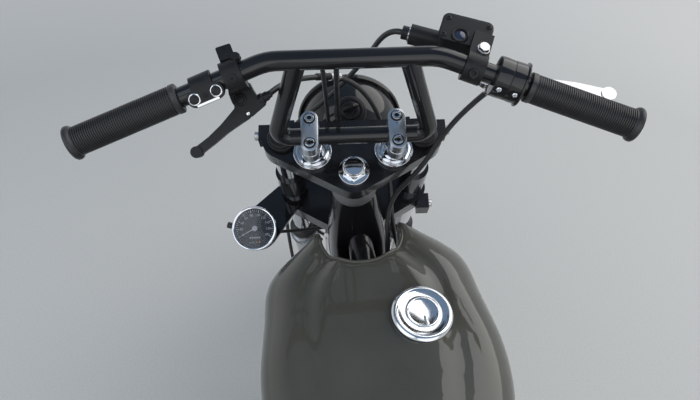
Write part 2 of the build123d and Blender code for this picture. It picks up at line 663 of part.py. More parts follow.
SHOCK_TOP = (-520.0, 137.0, 690.0)
SHOCK_FOOT = (-640.0, 137.0, 352.0)
PLATE_IN = 112.0
with BuildPart() as rear_frame:
    bent_tube([(-214, RAIL_Y, RAIL_Z), (-640, RAIL_Y, RAIL_Z), (-655, 0, RAIL_Z),
               (-640, -RAIL_Y, RAIL_Z), (-214, -RAIL_Y, RAIL_Z)], (34, 60, 34), TUBE_R)
    rod((-320, -RAIL_Y, 674), (-320, RAIL_Y, 674), 12)
    for side in (1, -1):
        rod((SHOCK_TOP[0], side * RAIL_Y, RAIL_Z), (SHOCK_TOP[0], side * 150, RAIL_Z), 8)
        rod((UPRIGHT_X, side * CRADLE_Y, 290), (-228, side * RAIL_Y, RAIL_Z), TUBE_R)
        with BuildSketch(Plane.XZ.offset(-side * (PLATE_IN + 4))):
            Polygon((-192, 296), (-196, 424), (-232, 420), (-290, 352), (-290, 308), (-236, 290),
                    align=None)
        extrude(amount=4, both=True)
    rod((PIVOT[0], -126, PIVOT[1]), (PIVOT[0], 126, PIVOT[1]), 8)
    rod((PIVOT[0], 122, PIVOT[1]), (PIVOT[0], 130, PIVOT[1]), 14)
    rod((PIVOT[0], -130, PIVOT[1]), (PIVOT[0], -122, PIVOT[1]), 14)
    add(head_frame.part, mode=Mode.SUBTRACT)
    add(cradle.part, mode=Mode.SUBTRACT)
finish(rear_frame, "rear_frame", ROW)

with BuildPart() as swinging_arm:
    for side in (1, -1):
        with BuildSketch(Plane.XZ.offset(-side * (ARM_IN + ARM_OUT) / 2)):
            with BuildLine():
                Polyline((PIVOT[0], PIVOT[1] + 22), (-660, REAR_AXLE_Z + 16), (-724, REAR_AXLE_Z + 20),
                         (-724, REAR_AXLE_Z - 20), (-660, REAR_AXLE_Z - 16),
                         (PIVOT[0], PIVOT[1] - 22))
                ThreePointArc((PIVOT[0], PIVOT[1] - 22), (PIVOT[0] + 22, PIVOT[1]),
                              (PIVOT[0], PIVOT[1] + 22))
            make_face()
        extrude(amount=(ARM_OUT - ARM_IN) / 2, both=True)
        rod((SHOCK_FOOT[0], side * 100, 334), (SHOCK_FOOT[0], side * 100, SHOCK_FOOT[2]), 10)
        rod((SHOCK_FOOT[0], side * 100, SHOCK_FOOT[2]), (SHOCK_FOOT[0], side * 150, SHOCK_FOOT[2]), 7)
    rod((PIVOT[0], -ARM_IN - 1, PIVOT[1]), (PIVOT[0], ARM_IN + 1, PIVOT[1]), 19)
    with Locations((PIVOT[0], 0, PIVOT[1])):
        Cylinder(8, 300, rotation=(90, 0, 0), mode=Mode.SUBTRACT)
    with Locations(REAR_AXLE):
        Cylinder(AXLE_R, 300, rotation=(90, 0, 0), mode=Mode.SUBTRACT)
finish(swinging_arm, "swinging_arm", ROW)

with BuildPart() as rear_axle:
    with Locations(REAR_AXLE):
        Cylinder(AXLE_R, 268, rotation=(90, 0, 0))
    with Locations(*both((REAR_AXLE[0], 117, REAR_AXLE[2]))):
        Cylinder(14, 10, rotation=(90, 0, 0))
    with Locations((REAR_AXLE[0], 85.5, REAR_AXLE[2]), (REAR_AXLE[0], -79.5, REAR_AXLE[2])):
        Cylinder(12, 5, rotation=(90, 0, 0))
finish(rear_axle, "rear_axle", ROW)

shock_length = math.dist(SHOCK_TOP, SHOCK_FOOT)
COIL_COUNT = 12
with BuildPart() as rear_shocks:
    for side in (1, -1):
        top, foot = [Vector(p[0], side * p[1], p[2]) for p in (SHOCK_TOP, SHOCK_FOOT)]
        along = (top - foot).normalized()
        for eye in (top, foot):
            rod(eye - Vector(0, 10, 0), eye + Vector(0, 10, 0), 15)
        rod(foot + along * 10, top - along * 10, 9)
        rod(foot + along * 14, foot + along * 90, 17)
        rod(top - along * 60, top - along * 13, 22)
        pitch = (shock_length - 120) / COIL_COUNT
        for number in range(COIL_COUNT):
            start = foot + along * (56 + number * pitch)
            rod(start, start + along * pitch * 0.55, 24)
    for side in (1, -1):
        for eye, stud_r in ((SHOCK_TOP, 8), (SHOCK_FOOT, 7)):
            with Locations((eye[0], side * eye[1], RAIL_Z if eye is SHOCK_TOP else eye[2])):
                Cylinder(stud_r, 60, rotation=(90, 0, 0), mode=Mode.SUBTRACT)
finish(rear_shocks, "rear_shocks", ROW)

# Chain: a fixed loop standing clear of the sprockets' teeth

DRIVE = (-150.0, 330.0, 41.0)                              # x, z and chain radius, engine end
DRIVEN = (REAR_AXLE[0], REAR_AXLE[2], SPROCKET_R + 9.0)    # the same at the wheel
LINK_COUNT = 94


def chain_run():
    """Points and headings at equal steps round the chain, as (x, z, angle)."""
    (x1, z1, r1), (x2, z2, r2) = DRIVE, DRIVEN
    apart = math.hypot(x2 - x1, z2 - z1)
    tilt = math.asin((r2 - r1) / apart)
    heading = math.atan2(z2 - z1, x2 - x1)
    straight = apart * math.cos(tilt)
    small_arc, big_arc = r1 * (math.pi - 2 * tilt), r2 * (math.pi + 2 * tilt)
    total = 2 * straight + small_arc + big_arc
    upper, lower = heading - math.pi / 2 - tilt, heading + math.pi / 2 + tilt
    for number in range(LINK_COUNT):
        at = total * number / LINK_COUNT
        if at < straight:
            angle, radius, x, z = upper, r1, x1, z1
            along = heading - tilt
            yield (x + radius * math.cos(angle) + at * math.cos(along),
                   z + radius * math.sin(angle) + at * math.sin(along), along)
        elif at < straight + big_arc:
            angle = upper + (at - straight) / r2
            yield x2 + r2 * math.cos(angle), z2 + r2 * math.sin(angle), angle + math.pi / 2
        elif at < 2 * straight + big_arc:
            back = at - straight - big_arc
            along = heading + tilt + math.pi
            yield (x2 + r2 * math.cos(lower) + back * math.cos(along),
                   z2 + r2 * math.sin(lower) + back * math.sin(along), along)
        else:
            angle = lower + (at - 2 * straight - big_arc) / r1
            yield x1 + r1 * math.cos(angle), z1 + r1 * math.sin(angle), angle + math.pi / 2


links = [Plane(origin=(x, CHAIN_Y, z), x_dir=(math.cos(turn), 0, math.sin(turn)), z_dir=(0, 1, 0))
         for x, z, turn in chain_run()]
with BuildPart() as chain:
    with BuildSketch(*[plane.offset(-CHAIN_HALF) for plane in links[0::2]]):
        SlotOverall(27, 11)
    extrude(amount=2 * CHAIN_HALF)
    with BuildSketch(*[plane.offset(2 - CHAIN_HALF) for plane in links[1::2]]):
        SlotOverall(27, 10)
    extrude(amount=2 * CHAIN_HALF - 4)
finish(chain, "chain", ROW)

# Engine

CYLINDER_X = 52.0
with BuildPart() as engine_cases:
    with BuildSketch(Plane.XZ):
        with BuildLine():
            Polyline((-186, 240), (100, 240))
            TangentArc((100, 240), (142, 300), tangent=(1, 0))
            Line((142, 300), (138, 420))
            Polyline((138, 420), (-60, 420), (-90, 396), (-192, 392), (-192, 240), (-186, 240))
        make_face()
    extrude(amount=72, both=True)
    with BuildSketch(Plane.XZ.offset(-58)):
        with Locations((-145, 330)):
            Rectangle(130, 200)
    extrude(amount=-30, mode=Mode.SUBTRACT)
    with BuildSketch(Plane.XZ.offset(-72)):
        with Locations((60, 320)):
            Circle(66)
    extrude(amount=-30)
    with BuildSketch(Plane.XZ.offset(-102)):
        with Locations((60, 320)):
            Circle(56)
    extrude(amount=-5)
    with BuildSketch(Plane.XZ.offset(72)):
        with Locations((60, 318)):
            Circle(70)
        with Locations((-90, 334)):
            Circle(62)
        make_hull()
    extrude(amount=34)
    with BuildSketch(Plane.XZ.offset(106)):
        with Locations((60, 318)):
            Circle(40)
        with Locations((-90, 334)):
            Circle(50)
    extrude(amount=8)
    rod((DRIVE[0], 40, DRIVE[1]), (DRIVE[0], 92, DRIVE[1]), 12)
finish(engine_cases, "engine_cases", ROW)

with BuildPart() as drive_sprocket:
    with BuildSketch(Plane.XZ.offset(-CHAIN_Y - 3)):
        with Locations((DRIVE[0], DRIVE[1])):
            Circle(28)
            with PolarLocations(29, 16):
                Trapezoid(8, 6.0, 62, rotation=-90)
            Circle(12, mode=Mode.SUBTRACT)
    extrude(amount=6)
finish(drive_sprocket, "drive_sprocket", ROW)

FIN_PITCH = 11.0
with BuildPart() as cylinder_barrel:
    with Locations((CYLINDER_X, 0, 485)):
        Cylinder(56, 130)
    for number in range(10):
        with BuildSketch(Plane.XY.offset(436 + number * FIN_PITCH)):
            with Locations((CYLINDER_X, 0)):
                RectangleRounded(158, 164, 34)
        extrude(amount=3.6)
finish(cylinder_barrel, "cylinder_barrel", ROW)

with BuildPart() as cylinder_head:
    with Locations((CYLINDER_X, 0, 596)):
        Box(120, 126, 92)
    for number in range(6):
        with BuildSketch(Plane.XY.offset(554 + number * FIN_PITCH)):
            with Locations((CYLINDER_X, 0)):
                RectangleRounded(164, 172, 34)
        extrude(amount=3.6)
    with BuildSketch(Plane.XY.offset(626)):
        with Locations((CYLINDER_X, 0)):
            RectangleRounded(120, 140, 24)
    extrude(amount=19)
    rod((CYLINDER_X - 40, 0, 588), (CYLINDER_X - 96, 0, 588), 20)
    rod((CYLINDER_X + 40, -26, 588), (CYLINDER_X + 92, -26, 588), 25)
finish(cylinder_head, "cylinder_head", ROW)

with BuildPart() as carburettor:
    rod((CYLINDER_X - 96, 0, 588), (CYLINDER_X - 186, 0, 588), 24)
    rod((-88, 0, 520), (-88, 0, 646), 21)
    rod((-88, 0, 500), (-88, 0, 522), 25)
finish(carburettor, "carburettor", ROW)

with BuildPart() as air_filter:
    rod((CYLINDER_X - 186, 0, 588), (CYLINDER_X - 196, 0, 588), 32)
    rod((CYLINDER_X - 196, 0, 588), (CYLINDER_X - 270, 0, 588), 40)
    rod((CYLINDER_X - 270, 0, 588), (CYLINDER_X - 276, 0, 588), 36)
    add(rear_frame.part, mode=Mode.SUBTRACT)
finish(air_filter, "air_filter", ROW)

# Exhaust on the right-hand side

PIPE_R = 19.0
with BuildPart() as exhaust_pipe:
    bent_tube([(CYLINDER_X + 92, -26, 588), (222, -26, 588), (214, -148, 430), (200, -154, 256),
               (-60, -154, 252), (-232, -158, 262)], (55, 60, 60, 200), PIPE_R)
    rod((CYLINDER_X + 92, -26, 588), (CYLINDER_X + 100, -26, 588), 25)
finish(exhaust_pipe, "exhaust_pipe", ROW)

with BuildPart() as silencer:
    with BuildSketch(Plane.XZ):
        with BuildLine():
            Polyline((0, 0), (24, 0), (40, 70), (43, 120), (43, 420), (36, 452), (28, 452), (28, 430),
                     (0, 430), (0, 0))
        make_face()
    revolve(axis=Axis.Z)
silencer_place = ROW * Plane(origin=(-236, -158, 262), x_dir=(0, 1, 0), z_dir=(-1, 0, 0.03)).location
finish(silencer, "silencer", silencer_place)

# Fuel tank, filler cap, seat

HX, HZ = HEAD_X, HEAD_Z
#             height, fall of the rear, front, horn y, side x, side y, widest x, widest y, rear x, y, end x, y
TANK_SLICES = (
    (-258.0, 0.0, -30.0, 54.0, -118.0, 98.0, -250.0, 126.0, -430.0, 84.0, -486.0, 40.0),
    (-212.0, 0.0, -14.0, 60.0, -104.0, 118.0, -240.0, 148.0, -436.0, 92.0, -498.0, 46.0),
    (-174.0, 0.8, 2.0, 66.0, -90.0, 134.0, -236.0, 157.0, -436.0, 95.0, -501.0, 49.0),
    (-142.0, 1.5, 6.0, 68.0, -84.0, 144.0, -235.0, 160.0, -436.0, 96.0, -502.0, 50.0),
    (-118.0, 3.0, 2.0, 62.0, -92.0, 132.0, -235.0, 148.0, -430.0, 88.0, -494.0, 46.0),
    (-100.0, 4.5, -16.0, 50.0, -104.0, 106.0, -235.0, 120.0, -410.0, 68.0, -470.0, 34.0),
    (-92.0, 5.5, -60.0, 30.0, -124.0, 66.0, -235.0, 76.0, -350.0, 40.0, -410.0, 20.0),
)
TANK_ROUNDING = (26.0, 90.0, 280.0, 180.0, 46.0)      # of the corners, front to rear


def roundings(corners, wanted):
    """The wanted radius of each corner of a closed outline, less where its edges are too short."""
    fitting = []
    for number, radius in enumerate(wanted):
        here = Vector(*corners[number])
        before, after = Vector(*corners[number - 1]), Vector(*corners[(number + 1) % len(corners)])
        turn = math.radians((here - before).get_angle(after - here))
        shorter = min((here - before).length, (after - here).length)
        fitting.append(min(radius, 0.42 * shorter / math.tan(turn / 2)))
    return fitting


with BuildPart() as fuel_tank:
    for height, fall, front_x, horn_y, side_x, side_y, wide_x, wide_y, rear_x, rear_y, end_x, end_y in \
            TANK_SLICES:
        level = Plane(origin=(HX - 180, 0, HZ + height), x_dir=Vector(1, 0, math.tan(math.radians(fall))),
                      z_dir=Vector(-math.tan(math.radians(fall)), 0, 1))
        left = [(front_x, horn_y), (side_x, side_y), (wide_x, wide_y), (rear_x, rear_y), (end_x, end_y)]
        outline = [(x + 180, y) for x, y in left] + [(x + 180, -y) for x, y in reversed(left)]
        wanted = TANK_ROUNDING + TANK_ROUNDING[::-1]
        with BuildSketch(level) as slice_sketch:
            Polygon(*outline, align=None)
            for corner, radius in zip(outline, roundings(outline, wanted)):
                fillet(slice_sketch.vertices().sort_by_distance((*corner, 0))[0], radius)
    loft()
    with BuildSketch(Plane.XY.offset(HZ - 300)):
        with BuildLine():
            Line((HX + 30, 57), (HX - 10, 55))
            ThreePointArc((HX - 10, 55), (HX - 83, 0), (HX - 10, -55))
            Polyline((HX - 10, -55), (HX + 30, -57), (HX + 30, 57))
        make_face()
    extrude(amount=300, mode=Mode.SUBTRACT)
    with BuildSketch(Plane(origin=BACKBONE_FRONT, z_dir=Vector(*BACKBONE_REAR) - Vector(*BACKBONE_FRONT),
                           x_dir=(0, 1, 0))) as tunnel:
        with Locations((0, 50)):
            Rectangle(56, 148)
    extrude(amount=700, mode=Mode.SUBTRACT)
finish(fuel_tank, "fuel_tank", ROW)

CAP = Plane(origin=(HX - 178, -54, HZ - 97), x_dir=(0, 1, 0), z_dir=(-0.14, -0.1, 1))
with BuildPart() as fuel_cap:
    with BuildSketch(Plane.XY.offset(-6)):
        Circle(40)
    extrude(amount=11)
    with BuildSketch(Plane.XY.offset(5)):
        Circle(36)
    extrude(amount=8)
    fillet(fuel_cap.edges().group_by(Axis.Z)[-1], 2)
    add(fuel_tank.part.moved(CAP.location.inverse()), mode=Mode.SUBTRACT)
finish(fuel_cap, "fuel_cap", ROW * CAP.location)

# Seat with its tail hump, on a flat base

SEAT_FRONT, SEAT_REAR, SEAT_BASE_Z = -166.0, -700.0, 706.0
with BuildPart() as seat_unit:
    with BuildSketch(Plane.XY.offset(SEAT_BASE_Z)):
        Polygon((SEAT_FRONT, 62), (-300, 104), (-520, 112), (-640, 96), (SEAT_REAR, 50),
                (SEAT_REAR, -50), (-640, -96), (-520, -112), (-300, -104), (SEAT_FRONT, -62), align=None)
        fillet(vertices(), 20)
    extrude(amount=9)
    with BuildSketch(Plane.XY.offset(SEAT_BASE_Z + 8)):
        Polygon((-522, 112), (-640, 96), (SEAT_REAR, 50), (SEAT_REAR, -50), (-640, -96), (-522, -112),
                align=None)
        fillet(vertices(), 34)
    extrude(amount=96, taper=8)
    fillet(seat_unit.edges().group_by(Axis.Z)[-1], 18)
    add(head_frame.part, mode=Mode.SUBTRACT)
finish(seat_unit, "seat_unit", ROW)

with BuildPart() as seat_cushion:
    with BuildSketch(Plane.XY.offset(SEAT_BASE_Z + 9)):
        Polygon((SEAT_FRONT, 62), (-300, 104), (-520, 112), (-520, -112), (-300, -104),
                (SEAT_FRONT, -62), align=None)
        fillet(vertices(), 18)
    extrude(amount=46)
    fillet(seat_cushion.edges().group_by(Axis.Z)[-1], 16)
    add(seat_unit.part, mode=Mode.SUBTRACT)
finish(seat_cushion, "seat_cushion", ROW)

REAR_GUARD_R = 341.0
guard_end = math.radians(90 + 45)
with BuildPart() as rear_mudguard:
    with BuildSketch(Plane(origin=REAR_AXLE, x_dir=(0, 1, 0),
                           z_dir=(math.sin(guard_end), 0, -math.cos(guard_end)))):
        with BuildLine():
            Polyline((-60, REAR_GUARD_R - 30), (-62.5, REAR_GUARD_R - 30))
            ThreePointArc((-62.5, REAR_GUARD_R - 30), (0, REAR_GUARD_R + 2.5), (62.5, REAR_GUARD_R - 30))
            Line((62.5, REAR_GUARD_R - 30), (60, REAR_GUARD_R - 30))
            ThreePointArc((60, REAR_GUARD_R - 30), (0, REAR_GUARD_R), (-60, REAR_GUARD_R - 30))
        make_face()
    revolve(axis=Axis(REAR_AXLE, (0, 1, 0)), revolution_arc=92)
    rod((-650, 0, REAR_AXLE_Z + 338.6), (-650, 0, RAIL_Z - 8), 8)
    for side in (1, -1):
        rod((-560, side * 61, REAR_AXLE_Z + 280.6), (-560, side * RAIL_Y, RAIL_Z - 4), 4)
    add(rear_frame.part, mode=Mode.SUBTRACT)
finish(rear_mudguard, "rear_mudguard", ROW)

with BuildPart() as tail_lamp:
    rod((-690, 0, 742), (-716, 0, 742), 20)
    add(seat_unit.part, mode=Mode.SUBTRACT)
    rod((-716, 0, 742), (-748, 0, 742), 34)
finish(tail_lamp, "tail_lamp", ROW)

with BuildPart() as battery_box:
    with Locations((-264, 0, 520)):
        Box(70, 150, 150)
    fillet(battery_box.edges().filter_by(Axis.Y), 12)
    for side in (1, -1):
        for height in (480, 560):
            rod((-262, side * 74, height), (-214, side * 92, height), 5)
    add(rear_frame.part, mode=Mode.SUBTRACT)
    add(air_filter.part, mode=Mode.SUBTRACT)
finish(battery_box, "battery_box", ROW)

# Rear drum brake: its plate, arm, rod to the pedal and stay to the swinging arm

BRAKE_SHAFT = (-735.0, 283.0)               # x and z
BRAKE_ARM_END = (-745.0, -97.0, 228.0)
PEDAL_CRANK_END = (-240.0, -97.0, 264.0)
with BuildPart() as rear_brake:
    rod((REAR_AXLE[0], -71.5, REAR_AXLE_Z), (REAR_AXLE[0], -77, REAR_AXLE_Z), 60)
    rod((REAR_AXLE[0], -76, REAR_AXLE_Z), (REAR_AXLE[0], -82, REAR_AXLE_Z), 24)
    rod((BRAKE_SHAFT[0], -74, BRAKE_SHAFT[1]), (BRAKE_SHAFT[0], -102, BRAKE_SHAFT[1]), 7)
    rod((BRAKE_SHAFT[0], -97, BRAKE_SHAFT[1]), BRAKE_ARM_END, 5)
    rod((BRAKE_ARM_END[0], -89, BRAKE_ARM_END[2]), (BRAKE_ARM_END[0], -105, BRAKE_ARM_END[2]), 7)
    rod(BRAKE_ARM_END, PEDAL_CRANK_END, 3.5)
    rod((PEDAL_CRANK_END[0], -91, PEDAL_CRANK_END[2]), (PEDAL_CRANK_END[0], -103, PEDAL_CRANK_END[2]), 6)
    rod((-662, -74, 290), (-662, -86, 290), 8)
    rod((-662, -81, 290), (-520, -84, 318), 5)
    with Locations(REAR_AXLE):
        Cylinder(AXLE_R, 300, rotation=(90, 0, 0), mode=Mode.SUBTRACT)
    add(swinging_arm.part, mode=Mode.SUBTRACT)
    add(rear_axle.part, mode=Mode.SUBTRACT)
finish(rear_brake, "rear_brake", ROW)

# Footrests, brake pedal, gear lever

with BuildPart() as footrests:
    for side in (1, -1):
        rod((-200, side * 106, 392), (-200, side * 126, 392), 12)
        rod((-200, side * 124, 392), (-200, side * 230, 392), 11)
        rod((-200, side * 228, 392), (-200, side * 234, 392), 14)
    add(rear_frame.part, mode=Mode.SUBTRACT)
finish(footrests, "footrests", ROW)

with BuildPart() as foot_pedals:
    rod((-90, 60, 300), (-90, 112, 300), 8)
    rod((-90, 112, 300), (-40, 116, 372), 6)
    rod((-40, 112, 372), (-40, 152, 372), 9)
    rod((-236, -87, 302), (-236, -132, 302), 7)
    rod((-236, -97, 302), PEDAL_CRANK_END, 5)
    rod((-236, -127, 302), (-60, -132, 384), 6)
    rod((-60, -126, 384), (-60, -166, 384), 10)
    add(engine_cases.part, mode=Mode.SUBTRACT)
    add(footrests.part, mode=Mode.SUBTRACT)
    add(rear_frame.part, mode=Mode.SUBTRACT)
    add(rear_brake.part, mode=Mode.SUBTRACT)
finish(foot_pedals, "foot_pedals", ROW)

# Side stand

with BuildPart() as side_stand:
    with BuildSketch(stand_plane.offset(-5)):
        Circle(15)
        with Locations((20, 0)):
            Rectangle(40, 22)
    extrude(amount=10)
    rod(STAND_PIVOT + stand_down * 34, STAND_FOOT + Vector(0, 0, 2), 9)
    with BuildSketch(floor_plane):
        RectangleRounded(66, 44, 12)
    extrude(amount=6)
    with BuildSketch(floor_plane):
        Rectangle(200, 200)
    extrude(amount=-40, mode=Mode.SUBTRACT)
    with BuildSketch(stand_plane.offset(-20)):
        Circle(6.2)
    extrude(amount=40, mode=Mode.SUBTRACT)
finish(side_stand, "side_stand", ROW)

# Cords. Those on the steering first, then the two that cross to the engine.

turned = HEAD_PLANE.location * Location((0, 0, 0), (0, 0, STEER_TURN))


def at_bar(*point):
    """A point of the steering frame, given on the upright machine."""
    return (turned * Location(point)).position


def cord(points, radius, widest=110.0):
    """Adds a cord along straight runs joined by arcs to the open part; prints its length."""
    corners = [Vector(*point) for point in points]
    radii = []
    for before, here, after in zip(corners, corners[1:], corners[2:]):
        turn = math.radians((here - before).get_angle(after - here))
        shorter = min((here - before).length, (after - here).length)
        radii.append(round(min(widest, 0.47 * shorter / math.tan(turn / 2)), 1))
    with BuildLine() as route:
        FilletPolyline(*corners, radius=radii)
    length = sum(edge.length for edge in route.edges())
    bent_tube(corners, radii, radius)
    print("cord length", round(length), "radii", radii)


with BuildPart() as brake_hose:
    cord([(119, -60, 140), (125, -44, 140), (138, -22, 60), (138, 30, -40), (106, 112, -100),
          (96, 130, -300), (14, 132, -520), (-56, 112, -600), (-58, 76.8, -606)], 3.5)
finish(brake_hose, "brake_hose", STEERED)

with BuildPart() as speedometer_cable:
    cord([(-13.5, 157, -211.3), (-6, 156, -246), (4, 110, -280), (14, 40, -292), (14, -30, -300),
          (2, -66, -370), (4, -68, -470), (34, -66, -590), (50, -67, -664)], 3.0)
finish(speedometer_cable, "speedometer_cable", STEERED)

with BuildPart() as lamp_wiring:
    cord([(66, 20, 167), (84, 18, 150), (96, 20, 40), (108, 18, -62)], 3.5)
    cord([(66, 34, 167), (82, 36, 150), (92, 34, 40), (106, 34, -66)], 3.0)
finish(lamp_wiring, "lamp_wiring", STEERED)

with BuildPart() as control_cables:
    cord([at_bar(46.9, 96.8, 130.2), at_bar(94, 62, 118), at_bar(124, 0, 42), at_bar(112, -46, -50),
          at_bar(40, -58, -110), at_bar(-40, -60, -150), (356, -70, 700), (310, -80, 640),
          (180, -102, 560), (-60, -104, 470), (-90, -90, 400)], 3.5)
    cord([at_bar(44, -160, 128), at_bar(47, -154, 112), at_bar(34, -120, 52), at_bar(4, -92, -10),
          at_bar(-16, -48, -74), (312, -38, 770), (288, -30, 690), (240, -9, 668), (-76, -8, 668),
          (-88, 0, 660), (-88, 0, 646.2)], 3.5)
finish(control_cables, "control_cables", ROW)
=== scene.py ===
"""Dresses the cafe racer motorcycle: finishes, tread, leather, dial, lamps, cables and fasteners."""

import math

import bmesh
import bpy
from mathutils import Matrix, Vector
from mathutils.bvhtree import BVHTree


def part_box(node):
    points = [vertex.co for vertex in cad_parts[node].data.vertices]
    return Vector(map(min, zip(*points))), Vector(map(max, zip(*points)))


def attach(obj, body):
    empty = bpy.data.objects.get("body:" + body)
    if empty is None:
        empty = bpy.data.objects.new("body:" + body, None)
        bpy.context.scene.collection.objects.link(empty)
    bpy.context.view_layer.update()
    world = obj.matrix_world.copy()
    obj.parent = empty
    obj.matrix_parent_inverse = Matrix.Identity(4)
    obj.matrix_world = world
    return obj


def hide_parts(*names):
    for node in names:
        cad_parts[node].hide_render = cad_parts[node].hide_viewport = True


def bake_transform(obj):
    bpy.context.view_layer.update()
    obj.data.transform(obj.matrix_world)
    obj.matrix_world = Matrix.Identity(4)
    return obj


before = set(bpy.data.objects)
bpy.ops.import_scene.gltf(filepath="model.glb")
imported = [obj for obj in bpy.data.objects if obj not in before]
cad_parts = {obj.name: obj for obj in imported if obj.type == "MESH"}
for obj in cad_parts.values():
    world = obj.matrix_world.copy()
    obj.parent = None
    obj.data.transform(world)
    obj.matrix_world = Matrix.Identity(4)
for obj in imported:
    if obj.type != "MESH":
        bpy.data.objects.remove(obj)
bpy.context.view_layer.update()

bl_info = {
    "name": "Cafe racer motorcycle",
    "version": (1, 0, 0),
    "blender": (4, 5, 0),
    "location": "3D View > Sidebar > Motorcycle",
    "description": "Finishes and fittings of a cafe racer motorcycle around its packed frame",
    "category": "Object",
}

MM = 0.001

# Stance of the parked machine, as the frame has it
LEAN = math.radians(7.0)
STEER_TURN = math.radians(-6.4)
RAKE = math.radians(27.0)
STEERING_HEAD = Vector((342.196, 0.0, 918.286))
ORIGIN_SHIFT = (0.0008, -0.1281, 0.0)

# Places in millimetres on the upright machine, or in the steering frame
FORK_OFFSET, FORK_LENGTH, FORK_HALF_GAP = 50.0, 690.0, 97.0
BAR_R = 11.1
BAR_BEND = Vector((59.5, 94.6, 177.8))
BAR_END = Vector((-17.4, 304.5, 150.8))
GRIP_START, GRIP_LENGTH = 0.4497, 124.0
RISER_X, RISER_Y, RISER_TOP, CLAMP_BOLT = 28.3, 55.0, 70.0, 17.0
WHEEL_R, BEAD_R, FLANGE_R, RIM_WELL_R = 325.0, 229.2, 241.0, 215.0
SPOKE_COUNT, VALVE_ANGLE = 36, 0.09
CYLINDER_X = 52.0
SHOCK_TOP, SHOCK_FOOT = (-520.0, 137.0, 690.0), (-640.0, 137.0, 352.0)
CAP_CENTRE = (342.196 - 178, -54, 918.286 - 97)
DIAL_HEIGHT = -7.35
SHELL_CELL, SEAT_CELL = 0.0036, 0.0065      # in metres

# Side angles in degrees where the tyres' grooves, sipes, slant, zigzag and side line start or end
GROOVE_HALF, ZIGZAG_END = 2.5, 24.0
SIPE_START, SIPE_END = 26.0, 60.0
SLANT_PEAK, SLANT_END = 62.0, 80.0
LINE_START, LINE_END = 70.0, 74.0
# Steps round the tyre to one pitch of its tread, how many half pitches a sipe slants, how deep it is
# against a groove, and the side line's height in millimetres
STEPS_PER_PITCH, SLANT, SIPE_SHARE, LINE_HEIGHT = 12, 1.4, 0.8, 0.8

# The camera as fitted to the photograph, in metres
CAMERA_PLACE = Vector((-0.2440, 0.0948, 1.4070))
CAMERA_AHEAD = Vector((0.725, -0.134, -0.676)).normalized()
CAMERA_RIGHT = Vector((-0.132, -0.990, 0.055)).normalized()
CAMERA_UP = CAMERA_RIGHT.cross(CAMERA_AHEAD).normalized()


def frame_of(origin, toward, side=None):
    """A frame at origin whose Z points toward, and whose X lies as near to side as it can."""
    z_axis = Vector(toward).normalized()
    hint = Vector(side) if side else (Vector((1, 0, 0)) if abs(z_axis.x) < 0.9 else Vector((0, 1, 0)))
    x_axis = (hint - z_axis * hint.dot(z_axis)).normalized()
    axes = Matrix((x_axis, z_axis.cross(x_axis), z_axis))
    return Matrix.Translation(origin) @ axes.transposed().to_4x4()


def shift(x, y, z):
    return Matrix.Translation((x, y, z))


def spin(angle, axis="Z"):
    return Matrix.Rotation(angle, 4, axis)


def middle_of(node):
    """The middle of a node's box, in the row frame."""
    low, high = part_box(node)
    return (low + high) / 2


BIKE = Matrix.Translation(ORIGIN_SHIFT) @ spin(-LEAN, "X") @ Matrix.Scale(MM, 4)
STEERING = BIKE @ Matrix.Translation(STEERING_HEAD) @ spin(-RAKE, "Y") @ spin(STEER_TURN)
LAMP = STEERING @ frame_of((156, 0, -155), (math.cos(RAKE), 0, -math.sin(RAKE)), (0, -1, 0))
SWITCH = LAMP @ frame_of((0, 0, 0), (0, -0.72, -0.7)) @ shift(0, 0, 82)
SPEEDO = STEERING @ frame_of((-28, 157, -151), (-0.234, 0, 0.972), (0, 1, 0))
# The dial's own X points to the rider's right, and its Y forward
DIAL = SPEEDO @ spin(math.pi)
PERCH = STEERING @ frame_of((39, 130, 133), (-0.45, 0.05, 0.89), (0, 1, 0))
MASTER = STEERING @ frame_of((92, -128, 173.8), (0.05, 0, 1), (-0.34, -0.94, 0))
FRONT_WHEEL = STEERING @ shift(FORK_OFFSET, 0, -FORK_LENGTH)
REAR_WHEEL = Matrix.Translation(middle_of("rear_tyre") - BIKE.translation) @ BIKE
REAR_AXLE = BIKE.inverted() @ middle_of("rear_tyre")
DOWN = (BIKE.to_3x3() @ Vector((0, 0, -1))).normalized()


# Sizes and colours that a user may change

def colour_property(name, description, default):
    return bpy.props.FloatVectorProperty(name=name, description=description, subtype="COLOR",
                                         default=default, min=0, max=1)


def length_property(name, description, default, low, high):
    return bpy.props.FloatProperty(name=name, description=description, default=default, min=low, max=high,
                                   unit="LENGTH")


class FinishColours(bpy.types.PropertyGroup):
    """Colours of the painted and covered pieces."""
    tank: colour_property("Tank paint", "Gloss paint of the fuel tank and tail", (0.072, 0.070, 0.057))
    black: colour_property("Black paint", "Gloss black of frame, bar and lamp", (0.007, 0.007, 0.008))
    leather: colour_property("Seat leather", "Leather of the seat cushion", (0.075, 0.036, 0.017))
    rubber: colour_property("Rubber", "Tyres, grips and footrests", (0.022, 0.022, 0.023))
    floor: colour_property("Floor", "The pale studio floor", (0.62, 0.61, 0.58))


class FittingSizes(bpy.types.PropertyGroup):
    """Sizes of the tread, ribs, seams and cables, in metres."""
    groove_depth: length_property("Tread depth", "Depth of the tyre's grooves", 0.0045, 0.001, 0.008)
    rib_pitch: length_property("Rib pitch", "Distance between the grip's ribs", 0.0024, 0.0015, 0.006)
    seat_swell: length_property("Seat swell", "How far the padding may swell", 0.008, 0.002, 0.016)
    seam_pitch: length_property("Seam pitch", "Distance between the seat's sewn channels", 0.042, 0.02, 0.1)
    seam_depth: length_property("Seam depth", "How deep a sewn channel sinks", 0.006, 0.001, 0.012)
    cable_radius: length_property("Cable radius", "Radius of the control cables", 0.0035, 0.002, 0.006)


def colours():
    return bpy.context.scene.motorcycle_colours


